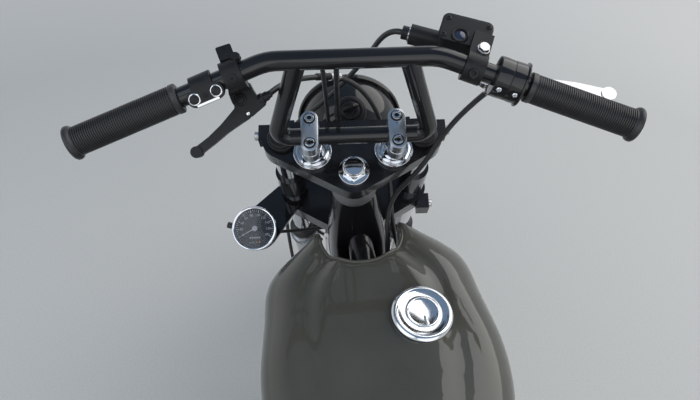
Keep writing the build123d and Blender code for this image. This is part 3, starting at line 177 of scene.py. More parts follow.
def sizes():
    return bpy.context.scene.motorcycle_sizes


# Finishes

made = {}


def finish(name):
    """The named finish, made the first time that it is asked for."""
    if name not in made:
        made[name] = SPECIAL[name](name) if name in SPECIAL else grained(name, **finish_values(name))
    return made[name]


def blank(name, colour, metallic=0.0, roughness=0.5, **sockets):
    """A new material with its shader's even values set."""
    material = bpy.data.materials.new(name)
    material.use_nodes = True
    inputs = shader_of(material).inputs
    inputs["Base Color"].default_value = (*colour, 1)
    inputs["Metallic"].default_value = metallic
    inputs["Roughness"].default_value = roughness
    for socket, value in sockets.items():
        inputs[socket.replace("_", " ")].default_value = value
    return material


def add_node(material, kind, **settings):
    node = material.node_tree.nodes.new(kind)
    for key, value in settings.items():
        setattr(node, key, value)
    return node


def join(material, source, target):
    material.node_tree.links.new(source, target)


def own_space(material):
    """Places in the object's own space."""
    return add_node(material, "ShaderNodeTexCoord").outputs["Object"]


def noise(material, scale, detail=4.0, stretch=(1, 1, 1)):
    """Noise in metres of the object's own space, stretched along its axes."""
    space = own_space(material)
    mapping = add_node(material, "ShaderNodeMapping")
    mapping.inputs["Scale"].default_value = stretch
    texture = add_node(material, "ShaderNodeTexNoise")
    texture.inputs["Scale"].default_value = scale
    texture.inputs["Detail"].default_value = detail
    join(material, space, mapping.inputs["Vector"])
    join(material, mapping.outputs["Vector"], texture.inputs["Vector"])
    return texture.outputs["Fac"]


def ramp(material, factor, low, high, start=0.0, end=1.0):
    """Maps factor from start and end to two grey levels."""
    node = add_node(material, "ShaderNodeMapRange")
    for key, value in (("From Min", start), ("From Max", end), ("To Min", low), ("To Max", high)):
        node.inputs[key].default_value = value
    join(material, factor, node.inputs["Value"])
    return node.outputs["Result"]


def blend_colours(material, factor, first, second):
    node = add_node(material, "ShaderNodeMix", data_type="RGBA")
    node.inputs[6].default_value = (*first, 1)
    node.inputs[7].default_value = (*second, 1)
    join(material, factor, node.inputs[0])
    return node.outputs[2]


def colour_ramp(tree, stops):
    """A ramp through stops, each of a position and a colour."""
    node = tree.nodes.new("ShaderNodeValToRGB")
    elements = node.color_ramp.elements
    elements.remove(elements[1])
    elements[0].position, elements[0].color = stops[0][0], (*stops[0][1], 1)
    for position, colour in stops[1:]:
        elements.new(position).color = (*colour, 1)
    return node


def shader_of(material):
    return material.node_tree.nodes["Principled BSDF"]


def set_colour(material, colour):
    join(material, colour, shader_of(material).inputs["Base Color"])


def set_roughness(material, factor, low, high):
    join(material, ramp(material, factor, low, high, 0.3, 0.7), shader_of(material).inputs["Roughness"])


def set_bump(material, height, strength, distance):
    """Raises the surface by height, at most distance metres."""
    node = add_node(material, "ShaderNodeBump")
    node.inputs["Strength"].default_value = strength
    node.inputs["Distance"].default_value = distance
    join(material, height, node.inputs["Height"])
    join(material, node.outputs["Normal"], shader_of(material).inputs["Normal"])


def tinted(colour, factor):
    return tuple(min(1.0, channel * factor) for channel in colour)


def grained(name, colour, tones=None, grain=(30, 5), span=None, shine=None, relief=None, fine=None,
            **sockets):
    """A finish whose colour and roughness follow one noise, with grain as its scale and detail.

    tones are its two colours, span the noise levels where they start and end, shine its two roughnesses
    and relief its bump's strength and depth. fine is the bump's own noise, if it isn't the same one.
    """
    material = blank(name, colour, **sockets)
    pattern = noise(material, *grain)
    if tones:
        share = ramp(material, pattern, 0, 1, *span) if span else pattern
        set_colour(material, blend_colours(material, share, *tones))
    if shine:
        set_roughness(material, pattern, *shine)
    if relief:
        set_bump(material, noise(material, *fine) if fine else pattern, *relief)
    return material


def gloss(colour):
    """Sprayed gloss paint with a clear coat, a little dust and orange peel."""
    return dict(colour=colour, tones=(tinted(colour, 0.9), tinted(colour, 1.18)), grain=(9, 6),
                span=(0.35, 0.75), shine=(0.26, 0.4), fine=(420, 2), relief=(0.06, 0.0004), roughness=0.4,
                Specular_IOR_Level=0.12, Coat_Weight=0.85, Coat_Roughness=0.03)


def plated(colour, low, high, scale=14.0):
    """Polished plating with faint cleaning marks."""
    return dict(colour=colour, tones=(tinted(colour, 0.93), colour), grain=(scale, 6), span=(0.3, 0.7),
                shine=(low, high), fine=(900, 2), relief=(0.015, 0.0002), metallic=1.0, roughness=low)


def lens(colour):
    """Tinted clear plastic."""
    return dict(colour=colour, tones=(tinted(colour, 0.7), tinted(colour, 1.25)), grain=(200, 3),
                relief=(0.1, 0.0002), roughness=0.16, Coat_Weight=0.7, Coat_Roughness=0.05,
                Subsurface_Weight=0.25)


def finish_values(name):
    """The values of a finish that grained() makes."""
    black, rubber, leather = colours().black, colours().rubber, colours().leather
    return {
        "tank_paint": gloss(colours().tank),
        "frame_paint": gloss(black),
        "gloss_black": gloss(black),
        "bright_chrome": plated((0.80, 0.81, 0.83), 0.06, 0.11),
        "satin_chrome": plated((0.62, 0.65, 0.70), 0.26, 0.32, 24.0),
        "polished_alloy": plated((0.66, 0.66, 0.67), 0.22, 0.27, 11.0),
        "wheel_alloy": plated((0.66, 0.66, 0.67), 0.18, 0.24, 9.0),
        "fastener_steel": plated((0.52, 0.52, 0.53), 0.22, 0.32, 60.0),
        "red_lens": lens((0.42, 0.012, 0.012)),
        "green_lens": lens((0.02, 0.19, 0.08)),
        "amber_lens": lens((0.42, 0.20, 0.02)),
        "sight_glass": lens((0.018, 0.024, 0.06)),
        # Baked enamel, a little dulled by handling
        "yoke_paint": dict(
            colour=black, tones=(black, tinted(black, 1.9)), span=(0.4, 0.75), shine=(0.24, 0.42),
            fine=(700, 2), relief=(0.08, 0.0003), roughness=0.34, Specular_IOR_Level=0.2, Coat_Weight=0.55,
            Coat_Roughness=0.1),
        # Fine-grained coating, smoother where fingers have rubbed it
        "satin_black": dict(
            colour=(0.012, 0.012, 0.013), tones=((0.008, 0.008, 0.009), (0.018, 0.018, 0.019)),
            grain=(45, 5), shine=(0.3, 0.52), fine=(1400, 2), relief=(0.2, 0.0003), roughness=0.42,
            Specular_IOR_Level=0.28),
        # Bead-blasted casting with oil film in its corners
        "cast_alloy": dict(
            colour=(0.52, 0.52, 0.51), tones=((0.52, 0.52, 0.515), (0.42, 0.41, 0.39)), grain=(22, 7),
            span=(0.45, 0.72), shine=(0.36, 0.6), fine=(900, 3), relief=(0.35, 0.0005), metallic=0.9,
            roughness=0.42),
        # Matt casting, greyed by heat
        "barrel_iron": dict(
            colour=(0.035, 0.035, 0.035), tones=((0.03, 0.03, 0.031), (0.085, 0.082, 0.078)),
            grain=(35, 6), span=(0.4, 0.7), shine=(0.5, 0.75), fine=(700, 3), relief=(0.5, 0.0006),
            metallic=0.2, roughness=0.6),
        # Ground steel, its scratches run one way
        "brushed_steel": dict(
            colour=(0.46, 0.46, 0.46), tones=((0.36, 0.35, 0.34), (0.55, 0.55, 0.55)),
            grain=(60, 8, (1, 30, 1)), shine=(0.22, 0.42), relief=(0.08, 0.0002), metallic=1.0,
            roughness=0.3),
        # Oiled and dusty
        "chain_steel": dict(
            colour=(0.13, 0.125, 0.12), tones=((0.24, 0.235, 0.23), (0.035, 0.03, 0.026)), grain=(160, 6),
            span=(0.35, 0.65), shine=(0.3, 0.6), relief=(0.2, 0.0004), metallic=1.0,
            roughness=0.38),
        "tyre_rubber": dict(
            colour=rubber, tones=(rubber, (0.075, 0.07, 0.062)), grain=(18, 7), span=(0.45, 0.8),
            shine=(0.5, 0.8), fine=(1100, 3), relief=(0.25, 0.0004), roughness=0.62),
        # Soft rubber, a little shiny where hands rub it
        "grip_rubber": dict(
            colour=tinted(rubber, 0.8), tones=(tinted(rubber, 0.6), tinted(rubber, 1.3)), grain=(40, 5),
            shine=(0.3, 0.5), fine=(1800, 2), relief=(0.15, 0.0003), roughness=0.4),
        # Waxed leather, darker in its folds
        "seat_leather": dict(
            colour=leather, tones=(tinted(leather, 0.62), tinted(leather, 1.35)), grain=(26, 7),
            span=(0.3, 0.72), shine=(0.34, 0.56), roughness=0.42, Sheen_Weight=0.08, Sheen_Roughness=0.5),
        # Waxed linen
        "seat_thread": dict(
            colour=(0.42, 0.33, 0.21), tones=((0.30, 0.23, 0.14), (0.50, 0.40, 0.27)), grain=(2600, 2),
            relief=(0.4, 0.0003), roughness=0.7),
        "cable_sheath": dict(
            colour=(0.018, 0.018, 0.019), tones=((0.013, 0.013, 0.014), (0.03, 0.03, 0.031)),
            grain=(55, 5), shine=(0.3, 0.5), fine=(1500, 2), relief=(0.1, 0.0002), roughness=0.38),
        "dial_black": dict(
            colour=(0.008, 0.010, 0.018), tones=((0.006, 0.008, 0.015), (0.011, 0.013, 0.022)),
            grain=(900, 3), relief=(0.1, 0.0001), roughness=0.55, Specular_IOR_Level=0.12),
        "dial_ink": dict(
            colour=(0.62, 0.62, 0.66), tones=((0.54, 0.54, 0.58), (0.68, 0.68, 0.72)), grain=(1300, 3),
            relief=(0.1, 0.0001)),
        # Glazed insulator
        "ceramic": dict(
            colour=(0.72, 0.71, 0.68), tones=((0.74, 0.73, 0.70), (0.6, 0.57, 0.52)), grain=(300, 5),
            roughness=0.15, Coat_Weight=0.6),
        # Dust cover under the top yoke
        "bearing_grey": dict(
            colour=(0.16, 0.16, 0.165), tones=((0.12, 0.12, 0.125), (0.2, 0.2, 0.205)), grain=(60, 5),
            shine=(0.36, 0.6), metallic=0.5, roughness=0.45),
    }[name]


def exhaust_chrome(name):
    """Chrome, straw and blue where the pipe is hottest near the head."""
    material = grained(name, **plated((0.76, 0.76, 0.78), 0.08, 0.2))
    space = own_space(material)
    distance = add_node(material, "ShaderNodeVectorMath", operation="DISTANCE")
    distance.inputs[1].default_value = BIKE @ Vector((CYLINDER_X + 92, -26, 588))
    join(material, space, distance.inputs[0])
    heat = colour_ramp(material.node_tree, (
        (0.0, (0.40, 0.37, 0.38)), (0.07, (0.34, 0.37, 0.48)), (0.13, (0.50, 0.42, 0.43)),
        (0.22, (0.70, 0.62, 0.50)), (0.36, (0.77, 0.77, 0.79))))
    join(material, distance.outputs["Value"], heat.inputs["Fac"])
    set_colour(material, heat.outputs["Color"])
    return material


def seat_leather(name):
    """Pebbled leather."""
    material = grained(name, **finish_values(name))
    space = own_space(material)
    pebbles = add_node(material, "ShaderNodeTexVoronoi", feature="F1")
    pebbles.inputs["Scale"].default_value = 620.0
    join(material, space, pebbles.inputs["Vector"])
    set_bump(material, pebbles.outputs["Distance"], 0.35, 0.0005)
    return material


def filter_cloth(name):
    """Oiled cotton gauze over wire mesh."""
    material = blank(name, (0.10, 0.035, 0.03), roughness=0.85)
    space = own_space(material)
    mesh = add_node(material, "ShaderNodeTexBrick")
    for key, value in (("Scale", 260.0), ("Color1", (0.11, 0.03, 0.026, 1)),
                       ("Color2", (0.085, 0.028, 0.024, 1)), ("Mortar", (0.20, 0.19, 0.18, 1))):
        mesh.inputs[key].default_value = value
    join(material, space, mesh.inputs["Vector"])
    set_colour(material, mesh.outputs["Color"])
    set_bump(material, mesh.outputs["Fac"], 0.4, 0.0005)
    return material


def lens_glass(name):
    """Clear moulded glass."""
    return grained(name, (0.94, 0.95, 0.96), grain=(30, 4), shine=(0.0, 0.04), roughness=0.02,
                   Transmission_Weight=0.98, IOR=1.4)


SPECIAL = {"exhaust_chrome": exhaust_chrome, "seat_leather": seat_leather, "filter_cloth": filter_cloth,
           "lens_glass": lens_glass}

# Which finish each carried-over node shows
NODE_FINISHES = {
    "frame_paint": "footrests head_frame cradle rear_frame swinging_arm side_stand foot_pedals battery_box",
    "gloss_black": "handlebar headlamp_bowl speedo_bracket tail_lamp lamp_brackets",
    "yoke_paint": "top_yoke bottom_yoke",
    "satin_black": "clutch_perch clutch_lever switch_block brake_master throttle_housing brake_caliper",
    "bright_chrome": "rear_axle front_axle fork_tubes stem_nuts headlamp_rim fuel_cap speedometer "
                     "rear_shocks bar_clamps",
    "polished_alloy": "fork_sliders brake_lever carburettor front_mudguard rear_mudguard rear_brake",
    "exhaust_chrome": "exhaust_pipe silencer",
    "cast_alloy": "engine_cases cylinder_head",
    "barrel_iron": "cylinder_barrel",
    "brushed_steel": "front_brake_disc rear_sprocket drive_sprocket",
    "chain_steel": "chain",
    "wheel_alloy": "front_wheel rear_wheel",
    "tyre_rubber": "front_tyre rear_tyre",
    "tank_paint": "fuel_tank seat_unit",
    "seat_leather": "seat_cushion",
    "grip_rubber": "grips",
    "filter_cloth": "air_filter",
    "cable_sheath": "control_cables brake_hose speedometer_cable lamp_wiring",
}


# Shaping

def around(count, offset=0.0):
    """Angles at count equal steps round a circle, starting offset steps on."""
    return [2 * math.pi * (number + offset) / count for number in range(count)]


def polar(radius, angle, height=0.0):
    return Vector((radius * math.cos(angle), radius * math.sin(angle), height))


def between(low, value, high):
    """How far value is on its way from low to high, from 0 to 1."""
    return min(1.0, max(0.0, (value - low) / (high - low)))


def circle_loop(radius, height, count):
    return [polar(radius, angle, height) for angle in around(count)]


def hexagon_loop(flat_r, height, count):
    """A hexagon whose flats are flat_r from the middle, with count points round it."""
    return [polar(flat_r / math.cos((angle % (math.pi / 3)) - math.pi / 6), angle, height)
            for angle in around(count)]


def rounded_loop(half_x, half_y, corner_r, height, steps=6):
    """A rectangle with rounded corners, steps points to a corner."""
    points = []
    for number, (x, y) in enumerate(((1, 1), (-1, 1), (-1, -1), (1, -1))):
        for step in range(steps):
            angle = math.pi / 2 * (number + step / (steps - 1))
            points.append(Vector((x * (half_x - corner_r) + corner_r * math.cos(angle),
                                  y * (half_y - corner_r) + corner_r * math.sin(angle), height)))
    return points


def slot_loop(half, end_r, height, count=40):
    """A slot's outline along X, half its centres apart, with count points."""
    return [Vector(((half if math.cos(angle) > 0 else -half) + end_r * math.cos(angle),
                    end_r * math.sin(angle), height)) for angle in around(count, 0.5)]


def stack(mesh, loops, place, material=0, ends="both"):
    """Skins a row of loops of as many points each. ends says what is closed: both, start, end, ring, none."""
    rows = [[mesh.verts.new(place @ point) for point in loop] for loop in loops]
    for lower, upper in zip(rows, rows[1:] + rows[:1] if ends == "ring" else rows[1:]):
        for i in range(len(lower)):
            after = (i + 1) % len(lower)
            mesh.faces.new((lower[i], lower[after], upper[after], upper[i])).material_index = material
    if ends in ("both", "start"):
        mesh.faces.new(reversed(rows[0])).material_index = material
    if ends in ("both", "end"):
        mesh.faces.new(rows[-1]).material_index = material


def turned(mesh, profile, place, count=32, material=0, ends="both"):
    """A turned piece: profile is a list of (radius, height) along the frame's Z."""
    stack(mesh, [circle_loop(radius, height, count) for radius, height in profile], place, material, ends)


def socket_bolt(mesh, place, head_r, head_h, material=0, socket_material=None):
    """A cap-head bolt with a rounded edge and a hexagon socket."""
    count = 24
    socket_r = head_r * 0.46
    loops = [circle_loop(head_r, 0, count), circle_loop(head_r, head_h * 0.78, count),
             circle_loop(head_r * 0.94, head_h * 0.94, count), circle_loop(head_r * 0.84, head_h, count),
             hexagon_loop(socket_r * 1.08, head_h, count), hexagon_loop(socket_r, head_h * 0.9, count)]
    stack(mesh, loops, place, material, "start")
    inside = [hexagon_loop(socket_r, head_h * 0.9, count), hexagon_loop(socket_r * 0.97, head_h * 0.3, count)]
    stack(mesh, inside, place, material if socket_material is None else socket_material, "end")


def hexagon_bolt(mesh, place, flat_r, head_h, washer_r=None, material=0):
    """A hexagon head with chamfered corners on a washer."""
    count = 24
    if washer_r:
        turned(mesh, [(washer_r, 0), (washer_r, head_h * 0.18), (flat_r, head_h * 0.24)], place, count,
               material)
    base = head_h * 0.2 if washer_r else 0.0
    loops = [hexagon_loop(flat_r, base, count), hexagon_loop(flat_r, head_h * 0.86, count),
             circle_loop(flat_r, head_h, count)]
    stack(mesh, loops, place, material)


def slotted_screw(mesh, place, head_r, material=0):
    """A domed screw head with a cross slot pressed in."""
    turned(mesh, [(head_r, 0), (head_r * 0.97, head_r * 0.3), (head_r * 0.75, head_r * 0.52),
                  (head_r * 0.4, head_r * 0.6), (head_r * 0.3, head_r * 0.3)], place, 16, material)


def placed(name, data):
    """A new object in the scene."""
    thing = bpy.data.objects.new(name, data)
    bpy.context.scene.collection.objects.link(thing)
    return thing


def mesh_object(name, mesh):
    """A new object in the scene with this mesh, which is used up."""
    data = bpy.data.meshes.new(name)
    mesh.to_mesh(data)
    mesh.free()
    return placed(name, data)


def piece(name, mesh, body, finishes, smooth_degrees=35.0):
    """Makes the object, gives it its finishes, and lets it ride on body."""
    bmesh.ops.recalc_face_normals(mesh, faces=mesh.faces)
    return dress(mesh_object(name, mesh), body, finishes, smooth_degrees)


def dress(thing, body, finishes, smooth_degrees=35.0):
    """Gives the object its finishes, and lets it ride on body if there is one."""
    data = thing.data
    if data.materials:
        data.materials.clear()
    for name in finishes.split():
        data.materials.append(finish(name))
    data.shade_smooth()
    data.set_sharp_from_angle(angle=math.radians(smooth_degrees))
    if body:
        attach(thing, body)
    return thing


def mesh_copy(name, node):
    """A new object with a copy of a node's mesh."""
    return placed(name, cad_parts[node].data.copy())


def shown_mesh(thing):
    """The mesh that the object shows, with its curve or its modifiers worked out."""
    return bpy.data.meshes.new_from_object(thing.evaluated_get(bpy.context.evaluated_depsgraph_get()))


def apply_modifiers(thing):
    """Fixes what the object's modifiers show into its mesh."""
    data = shown_mesh(thing)
    thing.modifiers.clear()
    thing.data = data


def cut_into_cells(thing, cell):
    """Cuts the object's mesh up into even cells."""
    remesh = thing.modifiers.new("even_cells", "REMESH")
    remesh.mode = "VOXEL"
    remesh.voxel_size = cell
    apply_modifiers(thing)


def smoothed_shell(name, node, rounds):
    """A copy of a node's mesh with its edges rounded like pressed steel."""
    shell = mesh_copy(name, node)
    cut_into_cells(shell, SHELL_CELL)
    shell.modifiers.new("pressed_steel", "SMOOTH").iterations = rounds
    apply_modifiers(shell)
    return shell


def surface_tree(thing):
    """The object's surface, for rays to meet."""
    return BVHTree.FromPolygons([vertex.co for vertex in thing.data.vertices],
                                [polygon.vertices[:] for polygon in thing.data.polygons])


def mesh_of_curve(name, curve):
    """The mesh of a curve or a text."""
    holder = placed(name, curve)
    bpy.context.view_layer.update()
    data = shown_mesh(holder)
    bpy.data.objects.remove(holder)
    return data


def cable(name, points, radius, sides=6):
    """A round cable along a smooth curve with these control points, in metres."""
    curve = bpy.data.curves.new(name, "CURVE")
    curve.dimensions = "3D"
    spline = curve.splines.new("NURBS")
    spline.points.add(len(points) - 1)
    for control, point in zip(spline.points, points):
        control.co = (*point, 1)
    spline.order_u = 3
    spline.use_endpoint_u = True
    spline.resolution_u = 12
    curve.bevel_depth = radius
    curve.bevel_resolution = sides
    curve.use_fill_caps = True
    data = mesh_of_curve(name + "_line", curve)
    data.name = name
    return placed(name, data)


class PieceMaker:
    """What every button of the panel shares."""
    bl_options = {"REGISTER", "UNDO"}


class MOTORCYCLE_OT_node_finishes(PieceMaker, bpy.types.Operator):
    """Give every carried-over node its finish"""
    bl_idname = "motorcycle.node_finishes"
    bl_label = "Node finishes"

    def execute(self, context):
        for name, nodes in NODE_FINISHES.items():
            for node in nodes.split():
                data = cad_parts[node].data
                data.materials.clear()
                data.materials.append(finish(name))
                for polygon in data.polygons:
                    polygon.material_index = 0
        return {"FINISHED"}


def tread_section(section_r, rim_half, groove_lines):
    """Across the tyre: (side angle in degrees, or None off the tread, height y, radius)."""
    lower = 180.0 - math.degrees(math.asin(min(1.0, (rim_half + 1.0) / section_r)))
    marks = {round(line + offset, 3) for line in groove_lines for offset in (-3.4, -2.2, 2.2, 3.4)}
    for step in range(0, 63, 6):
        if all(abs(step - abs(mark)) > 2.0 for mark in marks):
            marks.update((float(step), float(-step)))
    for step in (66, 70, 78, 86, 94, 102, 110, 118):
        if step < lower:
            marks.update((float(step), float(-step)))
    marks.update((lower, -lower))
    section = []
    for angle in sorted(marks):
        tilt = math.radians(angle)
        section.append((angle, section_r * math.sin(tilt),
                        WHEEL_R - section_r + section_r * math.cos(tilt)))
    seat = rim_half - 4.0
    return section + [(None, seat, FLANGE_R), (None, seat, BEAD_R), (None, -seat, BEAD_R),
                      (None, -seat, FLANGE_R)]


def tread_tyre(name, node, body, place, section_r, rim_half, groove_lines, zigzag, pitches):
    """A tyre with ribs, blocks and shoulder sipes cut into its round section.

    groove_lines are the side angles of its grooves, which swing by zigzag mm to each side.
    """
    depth = sizes().groove_depth / MM
    steps = pitches * STEPS_PER_PITCH
    section = tread_section(section_r, rim_half, groove_lines)
    loops = []
    for number in range(steps):
        phase = number % STEPS_PER_PITCH
        wave = abs(phase / STEPS_PER_PITCH - 0.5) * 4 - 1
        loop = []
        for angle, y, radius in section:
            if angle is None:
                theta = number * 2 * math.pi / steps
                loop.append(Vector((radius * math.cos(theta), y, radius * math.sin(theta))))
                continue
            across = abs(angle)
            cut = depth if any(abs(angle - line) < GROOVE_HALF for line in groove_lines) else 0.0
            if SIPE_START < across < SIPE_END and phase in (0, 1):
                cut = max(cut, depth * SIPE_SHARE)
            slant = 0.0
            if across <= SLANT_PEAK:
                slant = (across / SLANT_PEAK) ** 1.5 * SLANT
            elif across < SLANT_END:
                slant = (SLANT_END - across) / (SLANT_END - SLANT_PEAK) * SLANT
            if angle <= 0 and zigzag:
                slant = -slant
            swing = zigzag * wave * max(0.0, 1 - across / ZIGZAG_END)
            tilt = math.radians(angle)
            moved_y = y + swing * math.cos(tilt) - cut * math.sin(tilt)
            moved_r = radius - swing * math.sin(tilt) - cut * math.cos(tilt)
            if LINE_START < across < LINE_END:
                moved_y += LINE_HEIGHT * math.sin(tilt)
            theta = (number + slant * STEPS_PER_PITCH / 2) * 2 * math.pi / steps
            loop.append(Vector((moved_r * math.cos(theta), moved_y, moved_r * math.sin(theta))))
        loops.append(loop)
    mesh = bmesh.new()
    stack(mesh, loops, place, ends="ring")
    tyre = piece(name, mesh, body, "tyre_rubber", 28.0)
    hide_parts(node)


class MOTORCYCLE_OT_tyres(PieceMaker, bpy.types.Operator):
    """Cut the road tread into both tyres"""
    bl_idname = "motorcycle.tyres"
    bl_label = "Tyres"

    def execute(self, context):
        tread_tyre("front_tyre_tread", "front_tyre", "front_wheel_body", FRONT_WHEEL, 46.0, 30.0,
                   (-20.0, 0.0, 20.0), 0.0, 56)
        tread_tyre("rear_tyre_tread", "rear_tyre", "rear_wheel_body", REAR_WHEEL, 51.0, 40.0,
                   (-22.0, -7.0, 7.0, 22.0), 1.6, 52)
        return {"FINISHED"}


class MOTORCYCLE_OT_wheel_fittings(PieceMaker, bpy.types.Operator):
    """Add spoke nipples, valves, disc bolts and sprocket bolts"""
    bl_idname = "motorcycle.wheel_fittings"
    bl_label = "Wheel fittings"

    def execute(self, context):
        for name, place, body in (("front_wheel_nipples", FRONT_WHEEL, "front_wheel_body"),
                                  ("rear_wheel_nipples", REAR_WHEEL, "rear_wheel_body")):
            mesh = bmesh.new()
            for number, angle in enumerate(around(SPOKE_COUNT)):
                side = 1 if number % 2 else -1
                x, z = math.cos(angle), math.sin(angle)
                seat = frame_of((RIM_WELL_R * x, side * 7.0, RIM_WELL_R * z), (-x, side * 0.12, -z))
                turned(mesh, [(4.2, -1), (4.2, 1.2), (3.1, 2.2), (3.1, 9), (2.3, 11)], place @ seat, 10)
            x, z = math.cos(VALVE_ANGLE), math.sin(VALVE_ANGLE)
            turned(mesh, [(5, -2), (5, 3), (3.6, 4), (3.6, 22), (4.2, 22.5), (4.2, 31), (3, 32.5)],
                   place @ frame_of((RIM_WELL_R * x, 0, RIM_WELL_R * z), (-x, 0, -z)), 14)
            piece(name, mesh, body, "fastener_steel")
        mesh = bmesh.new()
        for angle in around(6, 0.5):
            spot = (43 * math.cos(angle), 56.5, 43 * math.sin(angle))
            socket_bolt(mesh, FRONT_WHEEL @ frame_of(spot, (0, 1, 0)), 5.5, 4.5)
        piece("disc_bolts", mesh, "front_wheel_body", "fastener_steel")
        mesh = bmesh.new()
        for angle in around(6, 0.5):
            spot = (47 * math.cos(angle), 77, 47 * math.sin(angle))
            hexagon_bolt(mesh, REAR_WHEEL @ frame_of(spot, (0, 1, 0)), 5.5, 5, 8)
        piece("sprocket_bolts", mesh, "rear_wheel_body", "fastener_steel")
        return {"FINISHED"}


def bar_frame(side, along):
    """A frame on the handlebar's outer run, Z outwards; along is 0 at the bend and 1 at the end."""
    mirrored = Vector((1, side, 1))
    bend, end = BAR_BEND * mirrored, BAR_END * mirrored
    outward = end - bend
    return frame_of(bend + outward * along, outward, Vector((0, 0, 1)).cross(outward) * -side)


class MOTORCYCLE_OT_grips(PieceMaker, bpy.types.Operator):
    """Turn the ribbed rubber grips"""
    bl_idname = "motorcycle.grips"
    bl_label = "Grips"

    def execute(self, context):
        pitch = sizes().rib_pitch / MM
        profile = [(BAR_R + 0.2, 0.2), (15.5, 0.2), (16.8, 1.2), (16.8, 6.5), (16.1, 7.5)]
        height = 8.0
        while height < GRIP_LENGTH - 5:
            profile += [(15.1, height), (15.1, height + pitch * 0.3), (16.3, height + pitch * 0.48),
                        (16.3, height + pitch * 0.85)]
            height += pitch
        profile += [(radius, GRIP_LENGTH + height) for radius, height in (
            (16.3, -3), (19.0, -1.0), (19.5, 0.8), (19.5, 2.6), (18.5, 3.9), (9.0, 4.0), (8.0, 3.2))]
        mesh = bmesh.new()
        for side in (1, -1):
            turned(mesh, profile, STEERING @ bar_frame(side, GRIP_START), 36)
        grips = piece("ribbed_grips", mesh, "steering", "grip_rubber", 40.0)
        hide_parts("grips")
        return {"FINISHED"}


class MOTORCYCLE_OT_seat(PieceMaker, bpy.types.Operator):
    """Fill and sew the seat cushion"""
    bl_idname = "motorcycle.seat"
    bl_label = "Seat"

    # Millimetres on the upright machine. A channel runs across at channel_x and at every pitch from it,
    # and fades over the lengths given towards the seat's ends and its sides
    middle, shrink = Vector((-345.0, 0.0, 735.0)), (0.965, 0.93, 0.84, 1)
    channel_x, channel_half, front_x, rear_x = -330.0, 4.2, -186.0, -506.0
    end_fade, side_fade = 12, 18
    back_limit, foot_z, side_z = -517.5, 715.4, 728.0
    row_gap, stitch_step, rows_half = 5.0, 6.0, 17
    # Half of a stitch's length, width and height, in metres
    stitch = 0.0021, 0.00055, 0.0005

    def execute(self, context):
        cushion = mesh_copy("seat_pad", "seat_cushion")
        cushion.data.transform(BIKE @ Matrix.Translation(self.middle) @ Matrix.Diagonal(self.shrink)
                               @ Matrix.Translation(-self.middle) @ BIKE.inverted())
        cut_into_cells(cushion, SEAT_CELL)
        rest = [vertex.co.copy() for vertex in cushion.data.vertices]
        self.fill(cushion)
        limit = sizes().seat_swell
        for vertex, start in zip(cushion.data.vertices, rest):
            move = vertex.co - start
            if move.length > limit:
                vertex.co = start + move * (limit / move.length)
        cushion.modifiers.new("even_skin", "SMOOTH").iterations = 6
        finer = cushion.modifiers.new("finer", "SUBSURF")
        finer.levels = finer.render_levels = 1
        apply_modifiers(cushion)
        self.sew(cushion)
        cushion.data.name = "seat_pad"
        dress(cushion, "frame", "seat_leather", 60.0)
        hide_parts("seat_cushion")
        self.piping()
        self.stitches(cushion)
        return {"FINISHED"}

    def fill(self, cushion):
        """Swells the cover by pressure, as cloth."""
        cloth = cushion.modifiers.new("padding", "CLOTH")
        cloth.settings.use_pressure = True
        cloth.settings.uniform_pressure_force = 4.0
        cloth.settings.effector_weights.gravity = 0.0
        for step in range(1, 21):
            bpy.context.scene.frame_set(step)
        apply_modifiers(cushion)
        bpy.context.scene.frame_set(1)

    def sew(self, cushion):
        """Sinks cross channels into the top and keeps the base flat and the back inside the solid."""
        upright = BIKE.inverted()
        pitch, depth = sizes().seam_pitch / MM, sizes().seam_depth / MM
        for vertex in cushion.data.vertices:
            spot = upright @ vertex.co
            along = (spot.x - self.channel_x) / pitch
            off = (along - round(along)) * pitch
            share = (between(self.side_z, spot.z, self.side_z + self.side_fade)
                     * between(self.front_x, spot.x, self.front_x - self.end_fade)
                     * between(self.rear_x, spot.x, self.rear_x + self.end_fade))
            spot.z = max(spot.z - depth * share * math.exp(-(off / self.channel_half) ** 2), self.foot_z)
            spot.x = max(spot.x, self.back_limit)
            vertex.co = BIKE @ spot

    def stitches(self, cushion):
        """Two rows of thread along every sewn channel."""
        tree = surface_tree(cushion)
        across = BIKE.to_3x3() @ Vector((0, 1, 0))
        length, width, height = self.stitch
        loops = [[Vector((x * length, y * width * wide, z * height))
                  for y, z in ((1, -1), (1, 0.6), (-1, 0.6), (-1, -1))]
                 for x, wide in ((-1, 0.5), (-0.6, 1), (0.6, 1), (1, 0.5))]
        mesh = bmesh.new()
        for channel in range(-4, 4):
            middle_x = self.channel_x + channel * sizes().seam_pitch / MM
            if not self.rear_x + 6 < middle_x < self.front_x - 4:
                continue
            for row in (-self.row_gap, self.row_gap):
                for step in range(-self.rows_half, self.rows_half + 1):
                    above = BIKE @ Vector((middle_x + row, step * self.stitch_step, 800.0))
                    hit, normal = tree.ray_cast(above, DOWN)[:2]
                    if hit is not None and normal.dot(DOWN) <= -0.6:
                        stack(mesh, loops, frame_of(hit + normal * 0.0002, normal, across))
        piece("seat_stitches", mesh, "frame", "seat_thread", 60.0)

    def piping(self):
        """A corded edge round the foot of the cushion."""
        left = [(-508, 112), (-300, 103.5), (-178, 66), (-172, 55)]
        outline = left + [(x, -y) for x, y in reversed(left)]
        cord = cable("seat_piping", [BIKE @ Vector((x, y, 718.0)) for x, y in outline], 0.003, 3)
        dress(cord, "frame", "seat_leather", 60.0)


